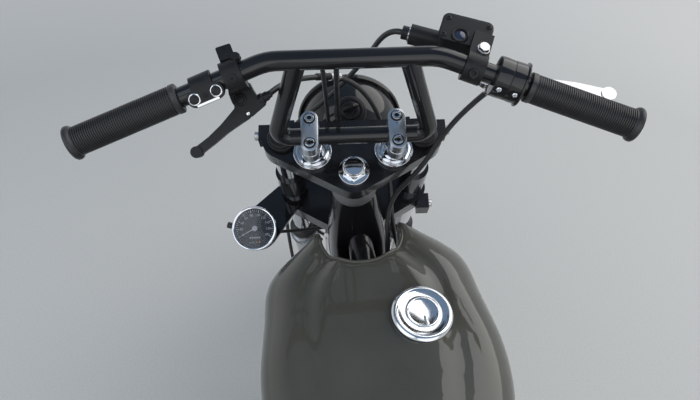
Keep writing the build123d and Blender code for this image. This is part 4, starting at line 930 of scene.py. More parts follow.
class MOTORCYCLE_OT_tank(PieceMaker, bpy.types.Operator):
    """Smooth the painted tank shell and roll its front lip"""
    bl_idname = "motorcycle.tank"
    bl_label = "Fuel tank"

    # Millimetres from the steering head. The front shoulder runs in plan from the horn's tip to the widest
    # slice; it swells most at half its reach, fades over inset inwards, and over the heights given downwards
    horn, side_corner = Vector((6.0, 68.0)), Vector((-84.0, 144.0))
    swell, reach, inset = 13.0, 1.35, 45.0
    swell_foot, swell_top = -262.0, -142.0
    # The round notch, and the part of it in degrees that the lip follows
    notch_x, notch_r, lip_inset = -28.0, 58.5, 1.5
    lip_start, lip_sweep, lip_steps = 58.0, 244.0, 30

    def execute(self, context):
        shell = smoothed_shell("tank_shell", "fuel_tank", 30)
        self.fill_shoulders(shell)
        dress(shell, "frame", "tank_paint", 180.0)
        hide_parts("fuel_tank")
        self.lip(shell)
        return {"FINISHED"}

    def fill_shoulders(self, shell):
        """Rounds the front shoulders out between the horns and the widest slice."""
        upright = BIKE.inverted()
        edge = self.side_corner - self.horn
        outward = Vector((edge.y, -edge.x)).normalized()
        for vertex in shell.data.vertices:
            spot = upright @ vertex.co - STEERING_HEAD
            side = 1 if spot.y > 0 else -1
            plan = Vector((spot.x, abs(spot.y)))
            along = (plan - self.horn).dot(edge) / edge.length_squared
            if not 0.0 < along < self.reach:
                continue
            near = min(1.0, max(0.0, 1 + (plan - self.horn).dot(outward) / self.inset))
            high = between(self.swell_foot, spot.z, self.swell_top)
            swell = (self.swell * math.sin(math.pi * along / self.reach) ** 2 * near
                     * high * high * (3 - 2 * high))
            spot += Vector((outward.x * swell, outward.y * swell * side, 0))
            vertex.co = BIKE @ (spot + STEERING_HEAD)

    def lip(self, shell):
        """A rolled bead along the edge of the notch round the steering head."""
        tree = surface_tree(shell)
        path = []
        for step in range(self.lip_steps + 1):
            angle = math.radians(self.lip_start + self.lip_sweep * step / self.lip_steps)
            spot = Vector((self.notch_x + self.notch_r * math.cos(angle) - self.lip_inset,
                           self.notch_r * math.sin(angle), -40.0))
            hit = tree.ray_cast(BIKE @ (STEERING_HEAD + spot), DOWN, 0.3)[0]
            if hit is not None:
                path.append(hit - DOWN * 0.0005)
        bead = cable("tank_lip", path, 0.0023, 4)
        dress(bead, "frame", "tank_paint", 180.0)


class MOTORCYCLE_OT_tail_cowl(PieceMaker, bpy.types.Operator):
    """Round the seat's painted tail hump"""
    bl_idname = "motorcycle.tail_cowl"
    bl_label = "Tail cowl"

    def execute(self, context):
        cowl = smoothed_shell("tail_cowl", "seat_unit", 22)
        dress(cowl, "frame", "tank_paint", 180.0)
        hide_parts("seat_unit")
        mesh = bmesh.new()
        for side in (1, -1):
            for along, out in ((-548.0, 106.4), (-620.0, 96.6)):
                screw = BIKE @ frame_of((along, side * out, 724.0), (-0.13, side, 0.14))
                socket_bolt(mesh, screw, 4.6, 3.0)
        piece("cowl_screws", mesh, "frame", "fastener_steel", 32.0)
        return {"FINISHED"}


class MOTORCYCLE_OT_filler_cap(PieceMaker, bpy.types.Operator):
    """Turn the chrome filler cap"""
    bl_idname = "motorcycle.filler_cap"
    bl_label = "Filler cap"

    def execute(self, context):
        place = BIKE @ frame_of(CAP_CENTRE, (-0.14, -0.1, 1), (0, 1, 0))
        mesh = bmesh.new()
        turned(mesh, [(38.5, -7), (40, -5.5), (40, 3.5), (38.6, 5)], place, 64, 1)
        turned(mesh, [(37.6, 4), (38.2, 5), (38.2, 9.5), (36.8, 11.6), (34.6, 12.8), (32.4, 12.9),
                      (31.0, 12.2), (29.8, 11.8), (21.8, 11.8), (21.2, 12.4), (20.2, 12.9), (18.8, 12.9),
                      (17.8, 12.3), (16.5, 12.0), (1.0, 12.5)], place, 64)
        notch = place @ shift(0, 0, 12.4) @ spin(math.radians(100)) @ shift(12, 0, 0)
        turned(mesh, [(3.2, 0), (2.8, 0.7), (1.2, 1.0)], notch @ Matrix.Diagonal((2.2, 0.75, 1, 1)), 24)
        cap = piece("filler_cap", mesh, "frame", "bright_chrome grip_rubber", 32.0)
        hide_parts("fuel_cap")
        return {"FINISHED"}


class MOTORCYCLE_OT_speedometer(PieceMaker, bpy.types.Operator):
    """Build the speedometer with its dial, pointer and trip knob"""
    bl_idname = "motorcycle.speedometer"
    bl_label = "Speedometer"

    # Degrees, anticlockwise from the rider's right
    zero_angle, sweep = 208.0, 236.0
    top_speed, strokes = 180, 36
    stroke_r, figure_r, figure_size = 29.6, 21.3, 5.4

    def execute(self, context):
        mesh = bmesh.new()
        turned(mesh, [(8, -62), (8, -47), (26, -46), (28, -44), (28, -14), (33.5, -12), (35, -10.5),
                      (35, -1.6), (34.2, -0.3), (33, 0), (31.6, -0.5), (31.1, -2.2), (30.9, -7.5)],
               SPEEDO, 72, ends="start")
        turned(mesh, [(30.9, -7.5), (0.5, -7.5)], SPEEDO, 72, 1, "end")
        knob = SPEEDO @ frame_of((31, -4, -15), (1, -0.3, 0.05))
        turned(mesh, [(2, -3), (2, 6), (4.6, 6.5), (5, 7.5), (5, 13), (4.2, 14)], knob, 20, 2)
        body = piece("speedometer_body", mesh, "steering",
                     "bright_chrome dial_black grip_rubber", 30.0)
        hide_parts("speedometer")
        self.scale()
        self.lights()
        self.pointer()
        glass = bmesh.new()
        turned(glass, [(31.3, -2.2), (31.1, -1.6), (20, -1.1), (0.5, -0.9), (0.4, -1.8), (20, -2.0)],
               SPEEDO, 64, ends="ring")
        piece("speedometer_glass", glass, "steering", "lens_glass", 60.0)
        return {"FINISHED"}

    def scale(self):
        """The scale's strokes and figures."""
        mesh = bmesh.new()
        for step in range(self.strokes + 1):
            outward = polar(1, self.angle(step / self.strokes))
            axes = Matrix(((outward.y, -outward.x, 0), outward, (0, 0, 1))).transposed()
            place = DIAL @ shift(0, 0, DIAL_HEIGHT) @ axes.to_4x4()
            half, inner = (0.5, 25.0) if step % 4 == 0 else (0.3, 27.4)
            corners = [(-half, inner), (half, inner), (half, self.stroke_r), (-half, self.stroke_r)]
            mesh.faces.new([mesh.verts.new(place @ Vector((x, y, 0))) for x, y in corners])
        for number in range(0, self.top_speed + 1, 20):
            text = bpy.data.curves.new("figure", "FONT")
            text.body = str(number)
            text.size = self.figure_size
            text.align_x = "CENTER"
            text.align_y = "CENTER"
            figure = mesh_of_curve("figure", text)
            middle = polar(self.figure_r, self.angle(number / self.top_speed), DIAL_HEIGHT)
            figure.transform(DIAL @ Matrix.Translation(middle))
            mesh.from_mesh(figure)
        piece("speedometer_figures", mesh, "steering", "dial_ink")

    def angle(self, share):
        """The scale's angle at a share of the top speed, in radians."""
        return math.radians(self.zero_angle - self.sweep * share)

    def lights(self):
        """The warning lights, and the windows of the distance counter."""
        mesh = bmesh.new()
        for x, colour in ((-7.5, 0), (-2.5, 0), (2.5, 1), (7.5, 2)):
            turned(mesh, [(1.7, 0), (1.6, 0.5), (0.8, 0.9)], DIAL @ shift(x, -21.5, -7.5), 14, colour)
        for number in range(6):
            place = DIAL @ shift(-7.5 + number * 3, -14.5, -7.3) @ Matrix.Diagonal((0.9, 1.3, 1, 1))
            turned(mesh, [(1.35, 0), (1.3, 0.2)], place, 4, 3)
        piece("speedometer_lights", mesh, "steering",
              "green_lens red_lens amber_lens dial_ink")

    def pointer(self):
        mesh = bmesh.new()
        place = DIAL @ spin(math.radians(self.zero_angle))
        outline = [(-5, -0.9), (-5, 0.9), (3, 0.9), (24.5, 0.3), (24.5, -0.3), (3, -0.9)]
        stack(mesh, [[Vector((x, y, height)) for x, y in outline] for height in (-6.2, -5.6)], place)
        turned(mesh, [(4.2, -6.4), (4.2, -4.6), (3.4, -4.1), (0.8, -4.0)], place, 28)
        piece("speedometer_pointer", mesh, "steering", "dial_ink")


class MOTORCYCLE_OT_headlamp(PieceMaker, bpy.types.Operator):
    """Build the headlamp's ring, reflector and glass, and its ignition switch"""
    bl_idname = "motorcycle.headlamp"
    bl_label = "Headlamp"

    # The glass's radius, rise, outer and inner foot, and its flutes, in millimetres
    glass_r, glass_rise, outer_foot, inner_foot = 75.9, 14.6, 12.4, 10.4
    flute_depth, flute_pitch, sides = 0.45, 9.0, 96

    def execute(self, context):
        mesh = bmesh.new()
        turned(mesh, [(80, 0.1), (85, 0.1), (87, 4), (86.4, 8.5)], LAMP, 96, 1, "start")
        turned(mesh, [(86.4, 8.5), (86, 10), (83, 13.4), (78.5, 14.5), (76, 13.2), (75.4, 10.5),
                      (75.2, 4)], LAMP, 96, ends="none")
        turned(mesh, [(75.2, 8), (68, 5.5), (52, 2.4), (30, 0.6), (13, 0.3)], LAMP, 96, ends="end")
        turned(mesh, [(11, 0.3), (11, 9), (9.5, 12), (3, 13.5)], LAMP, 32)
        ring = piece("headlamp_ring", mesh, "steering", "bright_chrome gloss_black", 30.0)
        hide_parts("headlamp_rim")
        self.glass()
        self.switch()
        self.key()
        return {"FINISHED"}

    def glass(self):
        """The domed glass, fluted inside its rim."""
        rows = 24
        loops = []
        for row in range(rows, 0, -1):
            loop = circle_loop(self.glass_r * row / rows, 0, self.sides)
            for point in loop:
                flute = self.flute_depth * abs(math.sin(point.x * math.pi / self.flute_pitch))
                point.z = self.outer_foot + self.dome(row / rows) + (flute if row < rows - 1 else 0.0)
            loops.append(loop)
        inner = [circle_loop(self.glass_r * row / rows, self.inner_foot + self.dome(row / rows), self.sides)
                 for row in (24, 18, 12, 6, 1)]
        mesh = bmesh.new()
        stack(mesh, loops, LAMP, ends="end")
        stack(mesh, inner, LAMP, ends="end")
        piece("headlamp_glass", mesh, "steering", "lens_glass", 60.0)

    def dome(self, share):
        """How high the glass stands at a share of its radius."""
        return self.glass_rise * (1 - share ** 2)

    def switch(self):
        """The ignition switch and a round cover on the bowl's upper back."""
        mesh = bmesh.new()
        turned(mesh, [(25, -7), (25.5, -1), (23.5, 1.4), (21, 1.8), (20.4, 6.5), (21.4, 7), (21.4, 9),
                      (19.6, 10), (17.2, 10.2), (16.6, 9), (14.8, 9), (14.2, 12.6), (12.4, 13.4),
                      (9, 13.6), (8.4, 12.4), (1, 12.4)], SWITCH, 48)
        cover = LAMP @ frame_of((0, 0, 0), (0, 0.72, -0.7)) @ shift(0, 0, 88)
        turned(mesh, [(21.6, -3), (22, -2), (22, 0), (20.5, 1.2), (10, 1.8), (6, 1.8), (5.4, 5),
                      (3.4, 5.4)], cover, 40)
        piece("ignition_switch", mesh, "steering", "satin_black", 30.0)

    def key(self):
        mesh = bmesh.new()
        outline = [(-3, 0), (3, 0), (4, 10), (11, 13), (13, 20), (11, 28), (4, 33), (-4, 33), (-11, 28),
                   (-13, 20), (-11, 13), (-4, 10)]
        loops = [[Vector((x * grow, offset, 11.0 + y)) for x, y in outline]
                 for offset, grow in ((-2.2, 0.94), (-1.6, 1), (1.6, 1), (2.2, 0.94))]
        stack(mesh, loops, SWITCH @ spin(math.radians(20)))
        piece("ignition_key", mesh, "steering", "satin_black", 30.0)


class MOTORCYCLE_OT_bar_clamps(PieceMaker, bpy.types.Operator):
    """Turn the bar risers with their cups, caps and bolts"""
    bl_idname = "motorcycle.bar_clamps"
    bl_label = "Bar clamps"

    def execute(self, context):
        mesh = bmesh.new()
        for side in (1, -1):
            place = STEERING @ shift(RISER_X, side * RISER_Y, 0)
            turned(mesh, [(24.2, 0.1), (26, 1.0), (26, 6.6), (25.4, 7.3), (24.6, 7.2), (23.6, 5.2),
                          (20, 2.6), (15, 1.8), (14, 2.2), (14, 34.5)], place, 64, ends="start")
            for half in (((10.0, 34.2), (11.0, 35.2), (11.0, 51.2), (10.3, 51.8)),
                         ((10.3, 52.2), (11.0, 52.8), (11.0, 68.8), (10.6, 69.7), (9.9, 70.0))):
                stack(mesh, [slot_loop(17, end_r, height) for end_r, height in half], place, 2)
            for fore in (1, -1):
                seat = place @ shift(fore * CLAMP_BOLT, 0, RISER_TOP)
                turned(mesh, [(7.7, 0.0), (7.7, 0.35), (6.2, 0.4)], seat, 32, 1)
                socket_bolt(mesh, seat, 5.9, 2.6, 0, 1)
            turned(mesh, [(0.9, 69.9), (0.8, 70.15)], place @ shift(7.0, 0, 0), 12, 1)
        clamps = piece("bar_risers", mesh, "steering",
                       "bright_chrome satin_black satin_chrome", 32.0)
        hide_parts("bar_clamps")
        return {"FINISHED"}


class MOTORCYCLE_OT_steering_head(PieceMaker, bpy.types.Operator):
    """Add the stem nut, bearing cover, yoke bolts, fork caps and the headstock's shroud"""
    bl_idname = "motorcycle.steering_head"
    bl_label = "Steering head"

    def execute(self, context):
        mesh = bmesh.new()
        turned(mesh, [(21, 0.1), (21, 4.0), (20.2, 5.0), (16, 5.6)], STEERING, 64)
        count = 48
        stack(mesh, [hexagon_loop(14.6, 5.4, count), hexagon_loop(14.6, 13.0, count)]
              + [circle_loop(radius, height, count) for radius, height in (
                  (14.8, 15.6), (13.6, 16.6), (13.2, 17.6), (12.2, 19.0), (8, 19.8), (1, 20.1))],
              STEERING, ends="end")
        turned(mesh, [(14, -28), (23, -28), (26, -31), (32.2, -42), (33, -45), (33, -49.4), (31.6, -50.4),
                      (28.4, -50.2), (28, -46), (15, -41)], STEERING, 64, 1)
        nut = piece("stem_nut", mesh, "steering", "bright_chrome bearing_grey", 28.0)
        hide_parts("stem_nuts")
        mesh = bmesh.new()
        for side in (1, -1):
            for fore, out, height in ((14, 33, -13), (-24, 32, -215)):
                place = frame_of((FORK_OFFSET + fore, side * (FORK_HALF_GAP + out), height), (0, side, 0))
                socket_bolt(mesh, STEERING @ place, 6.5, 6.5, 0, 1)
        piece("yoke_bolts", mesh, "steering", "fastener_steel satin_black", 40.0)
        for name, finishes, height, profile in (
                ("fork_caps", "satin_black", 5.5,
                 [(19.5, -1), (19.5, 1.6), (18.4, 2.8), (16.8, 3.2), (16.4, 5.2), (15, 6.2), (9.6, 6.4),
                  (9, 4.4), (1, 4.2)]),
                ("fork_dust_seals", "grip_rubber", -402,
                 [(25.2, -2), (26.2, 0), (26.2, 12), (24.5, 15), (20.5, 18), (18.2, 19)])):
            mesh = bmesh.new()
            for side in (1, -1):
                leg = STEERING @ frame_of((FORK_OFFSET, side * FORK_HALF_GAP, height), (0, 0, 1))
                turned(mesh, profile, leg, 48)
            piece(name, mesh, "steering", finishes, 30.0)
        self.shroud()
        return {"FINISHED"}

    def shroud(self):
        """The pressed cover over the head tube and the backbone's front."""
        head = frame_of(STEERING_HEAD, (-math.sin(RAKE), 0, math.cos(RAKE)), (math.cos(RAKE), 0, 0.5))
        bulge = 2.6
        loops = []
        for height, half, front, back in (
                (-56, 27.4, 20, -27.6), (-60, 29.6, 22, -30.5), (-90, 34.5, 22, -48), (-125, 41, 22, -82),
                (-160, 45, 20, -108), (-184, 47, 18, -126), (-187, 45, 16, -125)):
            middle, reach = (front + back) / 2, (front - back) / 2
            loop = []
            for angle in around(48):
                x, y = math.cos(angle), math.sin(angle)
                squareness = (abs(x) ** bulge + abs(y) ** bulge) ** (-1 / bulge)
                loop.append(Vector((middle + reach * x * squareness, half * y * squareness, height)))
            loops.append(loop)
        mesh = bmesh.new()
        stack(mesh, loops, BIKE @ head)
        piece("head_shroud", mesh, "frame", "frame_paint", 40.0)


class MOTORCYCLE_OT_hand_controls(PieceMaker, bpy.types.Operator):
    """Add the screws, buttons, caps and adjusters of the hand controls"""
    bl_idname = "motorcycle.hand_controls"
    bl_label = "Hand controls"

    def execute(self, context):
        self.perch()
        self.switch()
        self.master()
        self.throttle()
        return {"FINISHED"}

    def perch(self):
        """The clutch lever's pivot, its cable's adjuster and the mirror's plug."""
        mesh = bmesh.new()
        turned(mesh, [(7.3, -2.4), (7.3, -0.6), (6.4, 0.2), (5.6, 0.4), (5.2, -0.8)], PERCH, 32, 1)
        slotted_screw(mesh, PERCH @ shift(0, 0, -1.6), 4.6, 1)
        turned(mesh, [(2.2, -1), (2.2, 1.4), (1.4, 2.2), (0.5, 2.3)], PERCH @ shift(-8.4, 16.5, 0), 16)
        turned(mesh, [(6.2, 1), (6.2, 2), (6.9, 2.6), (6.9, 6.4), (6.2, 7), (5.2, 7.2), (5.2, 9),
                      (4.4, 9.4), (4.4, 16), (3.8, 17)], PERCH @ frame_of((-20, 2, -5), (-11, -6, 0)), 24, 1)
        mirror = STEERING @ frame_of((56, 128, 166), (4, -1, 20))
        hexagon_bolt(mesh, mirror @ shift(0, 0, 18), 5.2, 5.5, 6.6, 1)
        clamp = STEERING @ bar_frame(1, 0.175)
        socket_bolt(mesh, clamp @ frame_of((-12, -13.5, 0), (-0.6, -0.8, 0)), 4.2, 3.6, 1, 1)
        piece("perch_fittings", mesh, "steering", "bright_chrome satin_black", 32.0)

    def switch(self):
        """The two buttons and the screws of the switch block."""
        clamp = bar_frame(1, 0.325)
        up = Vector((-0.547, -0.093, 0.832))
        outward = clamp.to_3x3() @ Vector((0, 0, 1))
        face = STEERING @ frame_of(clamp.translation + up * 16 + up.cross(outward) * 8, up, outward)
        mesh = bmesh.new()
        for x in (-12.4, 12.4):
            button = face @ shift(x, 0, 0)
            turned(mesh, [(6.7, -0.5), (6.7, 1.2), (6.1, 2.0), (5.3, 2.1), (5.1, 1.0)], button, 32)
            turned(mesh, [(5.0, 0.5), (5.0, 3.2), (4.6, 4.0), (3.0, 4.6), (0.6, 4.8)], button, 28, 1)
        slotted_screw(mesh, face, 2.6, 1)
        strip = [Vector((x, y, 0.1)) for x, y in ((-13, 6.2), (13, 6.2), (13, 9.2), (-13, 9.2))]
        raised = [Vector((p.x * 0.97, 7.7 + (p.y - 7.7) * 0.8, 0.7)) for p in strip]
        stack(mesh, [strip, raised], face)
        for offset in (-9.5, 9.5):
            slotted_screw(mesh, STEERING @ (clamp @ frame_of((-13, 8, offset), (-0.8, 0.6, 0))), 2.8)
        piece("switch_buttons", mesh, "steering", "bright_chrome satin_black", 32.0)

    def master(self):
        """The brake reservoir's lid and window, and the bolts round it."""
        mesh = bmesh.new()
        stack(mesh, [rounded_loop(28.5 + grow, 17.5 + grow, 8 + grow, height)
                     for grow, height in ((-0.5, -0.4), (0.3, 0.2), (0.3, 1.6), (-0.8, 2.3))], MASTER, 1)
        for x in (-23, 23):
            for y in (-12, 12):
                slotted_screw(mesh, MASTER @ shift(x, y, 2.2), 2.9, 1)
        window = MASTER @ shift(-5.3, -8.2, 2.2)
        turned(mesh, [(9.6, -0.5), (9.6, 1.6), (8.6, 2.4), (7.2, 2.2), (6.7, 0.6)], window, 40, 1)
        turned(mesh, [(6.7, 0.3), (5, 1.2), (0.6, 1.6)], window, 32, 2)
        clamp = STEERING @ bar_frame(-1, 0.175)
        hexagon_bolt(mesh, clamp @ frame_of((19, 11, 3), (0.1, 1, 0)), 5.6, 5.0, 7.0)
        socket_bolt(mesh, clamp @ frame_of((-14, 10, 0), (-0.5, 0.87, 0)), 5.0, 4.6, 1, 1)
        banjo = STEERING @ frame_of((112, -79, 140), (4, 11, 0))
        hexagon_bolt(mesh, banjo @ shift(0, 0, 10), 6.4, 7, 9)
        turned(mesh, [(8.2, 2), (8.8, 3), (8.8, 8.5), (8.0, 9.5)], banjo, 24, 1)
        hexagon_bolt(mesh, STEERING @ frame_of((64, -160, 124.4), (0, 0, 1)), 5.0, 4.2, 6.4)
        piece("master_fittings", mesh, "steering", "fastener_steel satin_black sight_glass",
              32.0)

    def throttle(self):
        """The twist grip's housing and the cable's ferrule."""
        mesh = bmesh.new()
        housing = STEERING @ bar_frame(-1, 0.355)
        turned(mesh, [(15, -16.4), (21.5, -16), (22.4, -15), (22.6, -9), (22.2, -0.6), (21.4, 0), (22.2, 0.6),
                      (22.6, 9), (22.4, 13.4), (24.4, 14), (24.8, 15), (24.4, 16.2), (15, 16.4)], housing, 56)
        for offset in (-9, 9):
            slotted_screw(mesh, housing @ frame_of((-20.4, 8, offset), (-0.93, 0.37, 0)), 3.1, 1)
        stem = STEERING @ frame_of((38.4, -171, 158), (6, 12, -32))
        turned(mesh, [(7.2, 4), (7.6, 6), (7.6, 20), (6.4, 22)], stem, 24)
        turned(mesh, [(5.6, 21), (6.6, 22), (6.6, 26), (5.6, 27), (4.6, 27.4), (4.6, 31), (6, 31.6),
                      (6, 35.4), (5, 36), (4, 36.4), (4, 40)], stem, 20, 1)
        piece("throttle_fittings", mesh, "steering", "gloss_black bright_chrome", 32.0)


class MOTORCYCLE_OT_cables(PieceMaker, bpy.types.Operator):
    """Lay the cables, the brake hose and the lamp's wires"""
    bl_idname = "motorcycle.cables"
    bl_label = "Cables and hose"

    def execute(self, context):
        for name, steered, fixed in (
                ("clutch_cable",
                 [(46.9, 96.8, 130.2), (60, 87, 126), (90, 62, 94), (122, 0, 42), (112, -46, -50),
                  (40, -58, -110), (-40, -60, -150)],
                 [(356, -70, 700), (310, -80, 640), (180, -102, 560), (-60, -104, 470), (-90, -90, 400)]),
                ("throttle_cable",
                 [(44, -160, 128), (47, -154, 112), (34, -120, 52), (4, -92, -10), (-16, -48, -74)],
                 [(312, -38, 770), (288, -30, 690), (240, -9, 668), (-76, -8, 668), (-88, 0, 660),
                  (-88, 0, 646.2)])):
            points = [STEERING @ Vector(p) for p in steered] + [BIKE @ Vector(p) for p in fixed]
            control = cable(name, points, sizes().cable_radius)
            dress(control, None, "cable_sheath", 60.0)
            if name == "clutch_cable":
                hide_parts("control_cables")
                self.adjuster(points[2], points[3])
            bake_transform(control)
        for name, node, radius, route in (
                ("front_brake_hose", "brake_hose", 0.0035,
                 [(119, -60, 140), (125, -44, 140), (138, -22, 60), (138, 30, -40), (106, 112, -100),
                  (96, 130, -300), (14, 132, -520), (-56, 112, -600), (-58, 76.8, -606)]),
                ("speedometer_drive", "speedometer_cable", 0.003,
                 [(-13.5, 157, -211.3), (-6, 156, -246), (4, 110, -280), (14, 40, -292), (14, -30, -300),
                  (2, -66, -370), (4, -68, -470), (34, -66, -590), (50, -67, -664)]),
                ("lamp_wire_1", "lamp_wiring", 0.0035,
                 [(66, 20, 167), (84, 18, 150), (96, 20, 40), (108, 18, -62)]),
                ("lamp_wire_2", None, 0.003,
                 [(66, 34, 167), (82, 36, 150), (92, 34, 40), (106, 34, -66)])):
            hose = cable(name, [STEERING @ Vector(p) for p in route], radius)
            dress(hose, "steering", "cable_sheath", 60.0)
            if node:
                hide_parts(node)
        return {"FINISHED"}

    def adjuster(self, before, after):
        """The threaded adjuster in the clutch cable's run across the bars."""
        place = frame_of((before + after) / 2, after - before) @ Matrix.Scale(MM, 4)
        mesh = bmesh.new()
        turned(mesh, [(3.6, -20), (4.6, -19), (4.6, -8), (5.2, -7.4), (5.2, -2.6), (4.6, -2), (4.6, 4)],
               place, 20)
        turned(mesh, [(4.0, 4), (5.6, 4.4), (5.6, 8.4), (4.6, 9), (4.4, 18), (5.2, 18.4), (5.2, 22),
                      (3.6, 23)], place, 20, 1)
        piece("cable_adjuster", mesh, "steering", "satin_black fastener_steel", 32.0)


class MOTORCYCLE_OT_shocks(PieceMaker, bpy.types.Operator):
    """Wind the springs of the rear dampers"""
    bl_idname = "motorcycle.shocks"
    bl_label = "Rear dampers"

    coils, steps_per_coil = 11, 28
    coil_r, wire_r = 20.4, 3.6

    def execute(self, context):
        for side, name in ((1, "left"), (-1, "right")):
            mirrored = Vector((1, side, 1))
            top, foot = Vector(SHOCK_TOP) * mirrored, Vector(SHOCK_FOOT) * mirrored
            place = BIKE @ frame_of(foot, top - foot, (0, side, 0))
            length = (top - foot).length
            mesh = bmesh.new()
            for height in (0.0, length):
                turned(mesh, [(8.2, -10), (15, -10), (15, 10), (8.2, 10)],
                       place @ frame_of((0, 0, height), (1, 0, 0)), 32, ends="ring")
            turned(mesh, [(9, 12), (11, 16), (16.5, 18), (16.5, 84), (12, 90), (6.5, 92),
                          (6.5, length - 64)], place, 32)
            turned(mesh, [(radius, length - down) for radius, down in (
                (9, 12), (14, 16), (22, 20), (22, 58), (18, 62), (6.5, 62))], place, 40)
            turned(mesh, [(17, 44), (24, 46), (24, 52), (17, 54)], place, 40, ends="ring")
            body = piece(f"damper_{name}", mesh, "frame", "bright_chrome", 30.0)
            self.spring(f"spring_{name}", place, 56.0, length - 62.0)
            if side == 1:
                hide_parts("rear_shocks")
        return {"FINISHED"}

    def spring(self, name, place, low, high):
        """A coil spring, a little closer wound at its ends."""
        count = self.coils * self.steps_per_coil
        loops = []
        for step in range(count + 1):
            share = step / count
            angle = 2 * math.pi * self.coils * share
            ease = share - 0.02 * math.sin(2 * math.pi * share)
            middle = polar(self.coil_r, angle, low + (high - low) * ease)
            outward = polar(1, angle)
            loops.append([middle + outward * self.wire_r * math.cos(t)
                          + Vector((0, 0, self.wire_r * math.sin(t))) for t in around(8)])
        mesh = bmesh.new()
        stack(mesh, loops, place)
        piece(name, mesh, "frame", "gloss_black", 60.0)


class MOTORCYCLE_OT_tail_lamp(PieceMaker, bpy.types.Operator):
    """Add the tail lamp's red glass"""
    bl_idname = "motorcycle.tail_lamp"
    bl_label = "Tail lamp"

    def execute(self, context):
        place = BIKE @ frame_of((-716, 0, 742), (-1, 0, 0))
        mesh = bmesh.new()
        turned(mesh, [(20, -4), (31, -3), (34, 2), (34, 18), (32.4, 20)], place, 64, 0, "start")
        turned(mesh, [(32.4, 20), (31.6, 24), (28, 29), (20, 31.4), (10, 31.8), (1, 32)], place, 64, 1, "end")
        lamp = piece("tail_lamp_glass", mesh, "frame", "bright_chrome red_lens", 40.0)
        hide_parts("tail_lamp")
        return {"FINISHED"}


class MOTORCYCLE_OT_engine_fittings(PieceMaker, bpy.types.Operator):
    """Add the engine's cover screws, filler plug and spark plug"""
    bl_idname = "motorcycle.engine_fittings"
    bl_label = "Engine fittings"

    def execute(self, context):
        mesh = bmesh.new()
        for angle in around(8, 0.5):
            spot = (60 + 61 * math.cos(angle), 102, 320 + 61 * math.sin(angle))
            slotted_screw(mesh, BIKE @ frame_of(spot, (0, 1, 0)), 3.6)
        for cover_x, cover_z, radius, low in ((60, 318, 64, -80), (-90, 334, 56, 100)):
            for number in range(6):
                angle = math.radians(low + 160 * number / 5)
                spot = (cover_x + radius * math.cos(angle), -106, cover_z + radius * math.sin(angle))
                slotted_screw(mesh, BIKE @ frame_of(spot, (0, -1, 0)), 3.8)
        turned(mesh, [(15, -2), (15, 4), (13, 6), (5, 6.5)],
               BIKE @ frame_of((-6, -106, 372), (0, -1, 0)), 24)
        piece("engine_screws", mesh, "frame", "fastener_steel")
        mesh = bmesh.new()
        place = BIKE @ frame_of((CYLINDER_X - 20, 62, 604), (0, 1, 0.25))
        hexagon_bolt(mesh, place, 9, 10, 11)
        turned(mesh, [(7.5, 9), (7, 12), (6, 14), (5.4, 30), (4.8, 31)], place, 24, 1)
        turned(mesh, [(2.6, 30), (2.6, 36), (3.4, 37), (3.4, 41), (2.4, 42)], place, 16)
        piece("spark_plug", mesh, "frame", "fastener_steel ceramic")
        return {"FINISHED"}


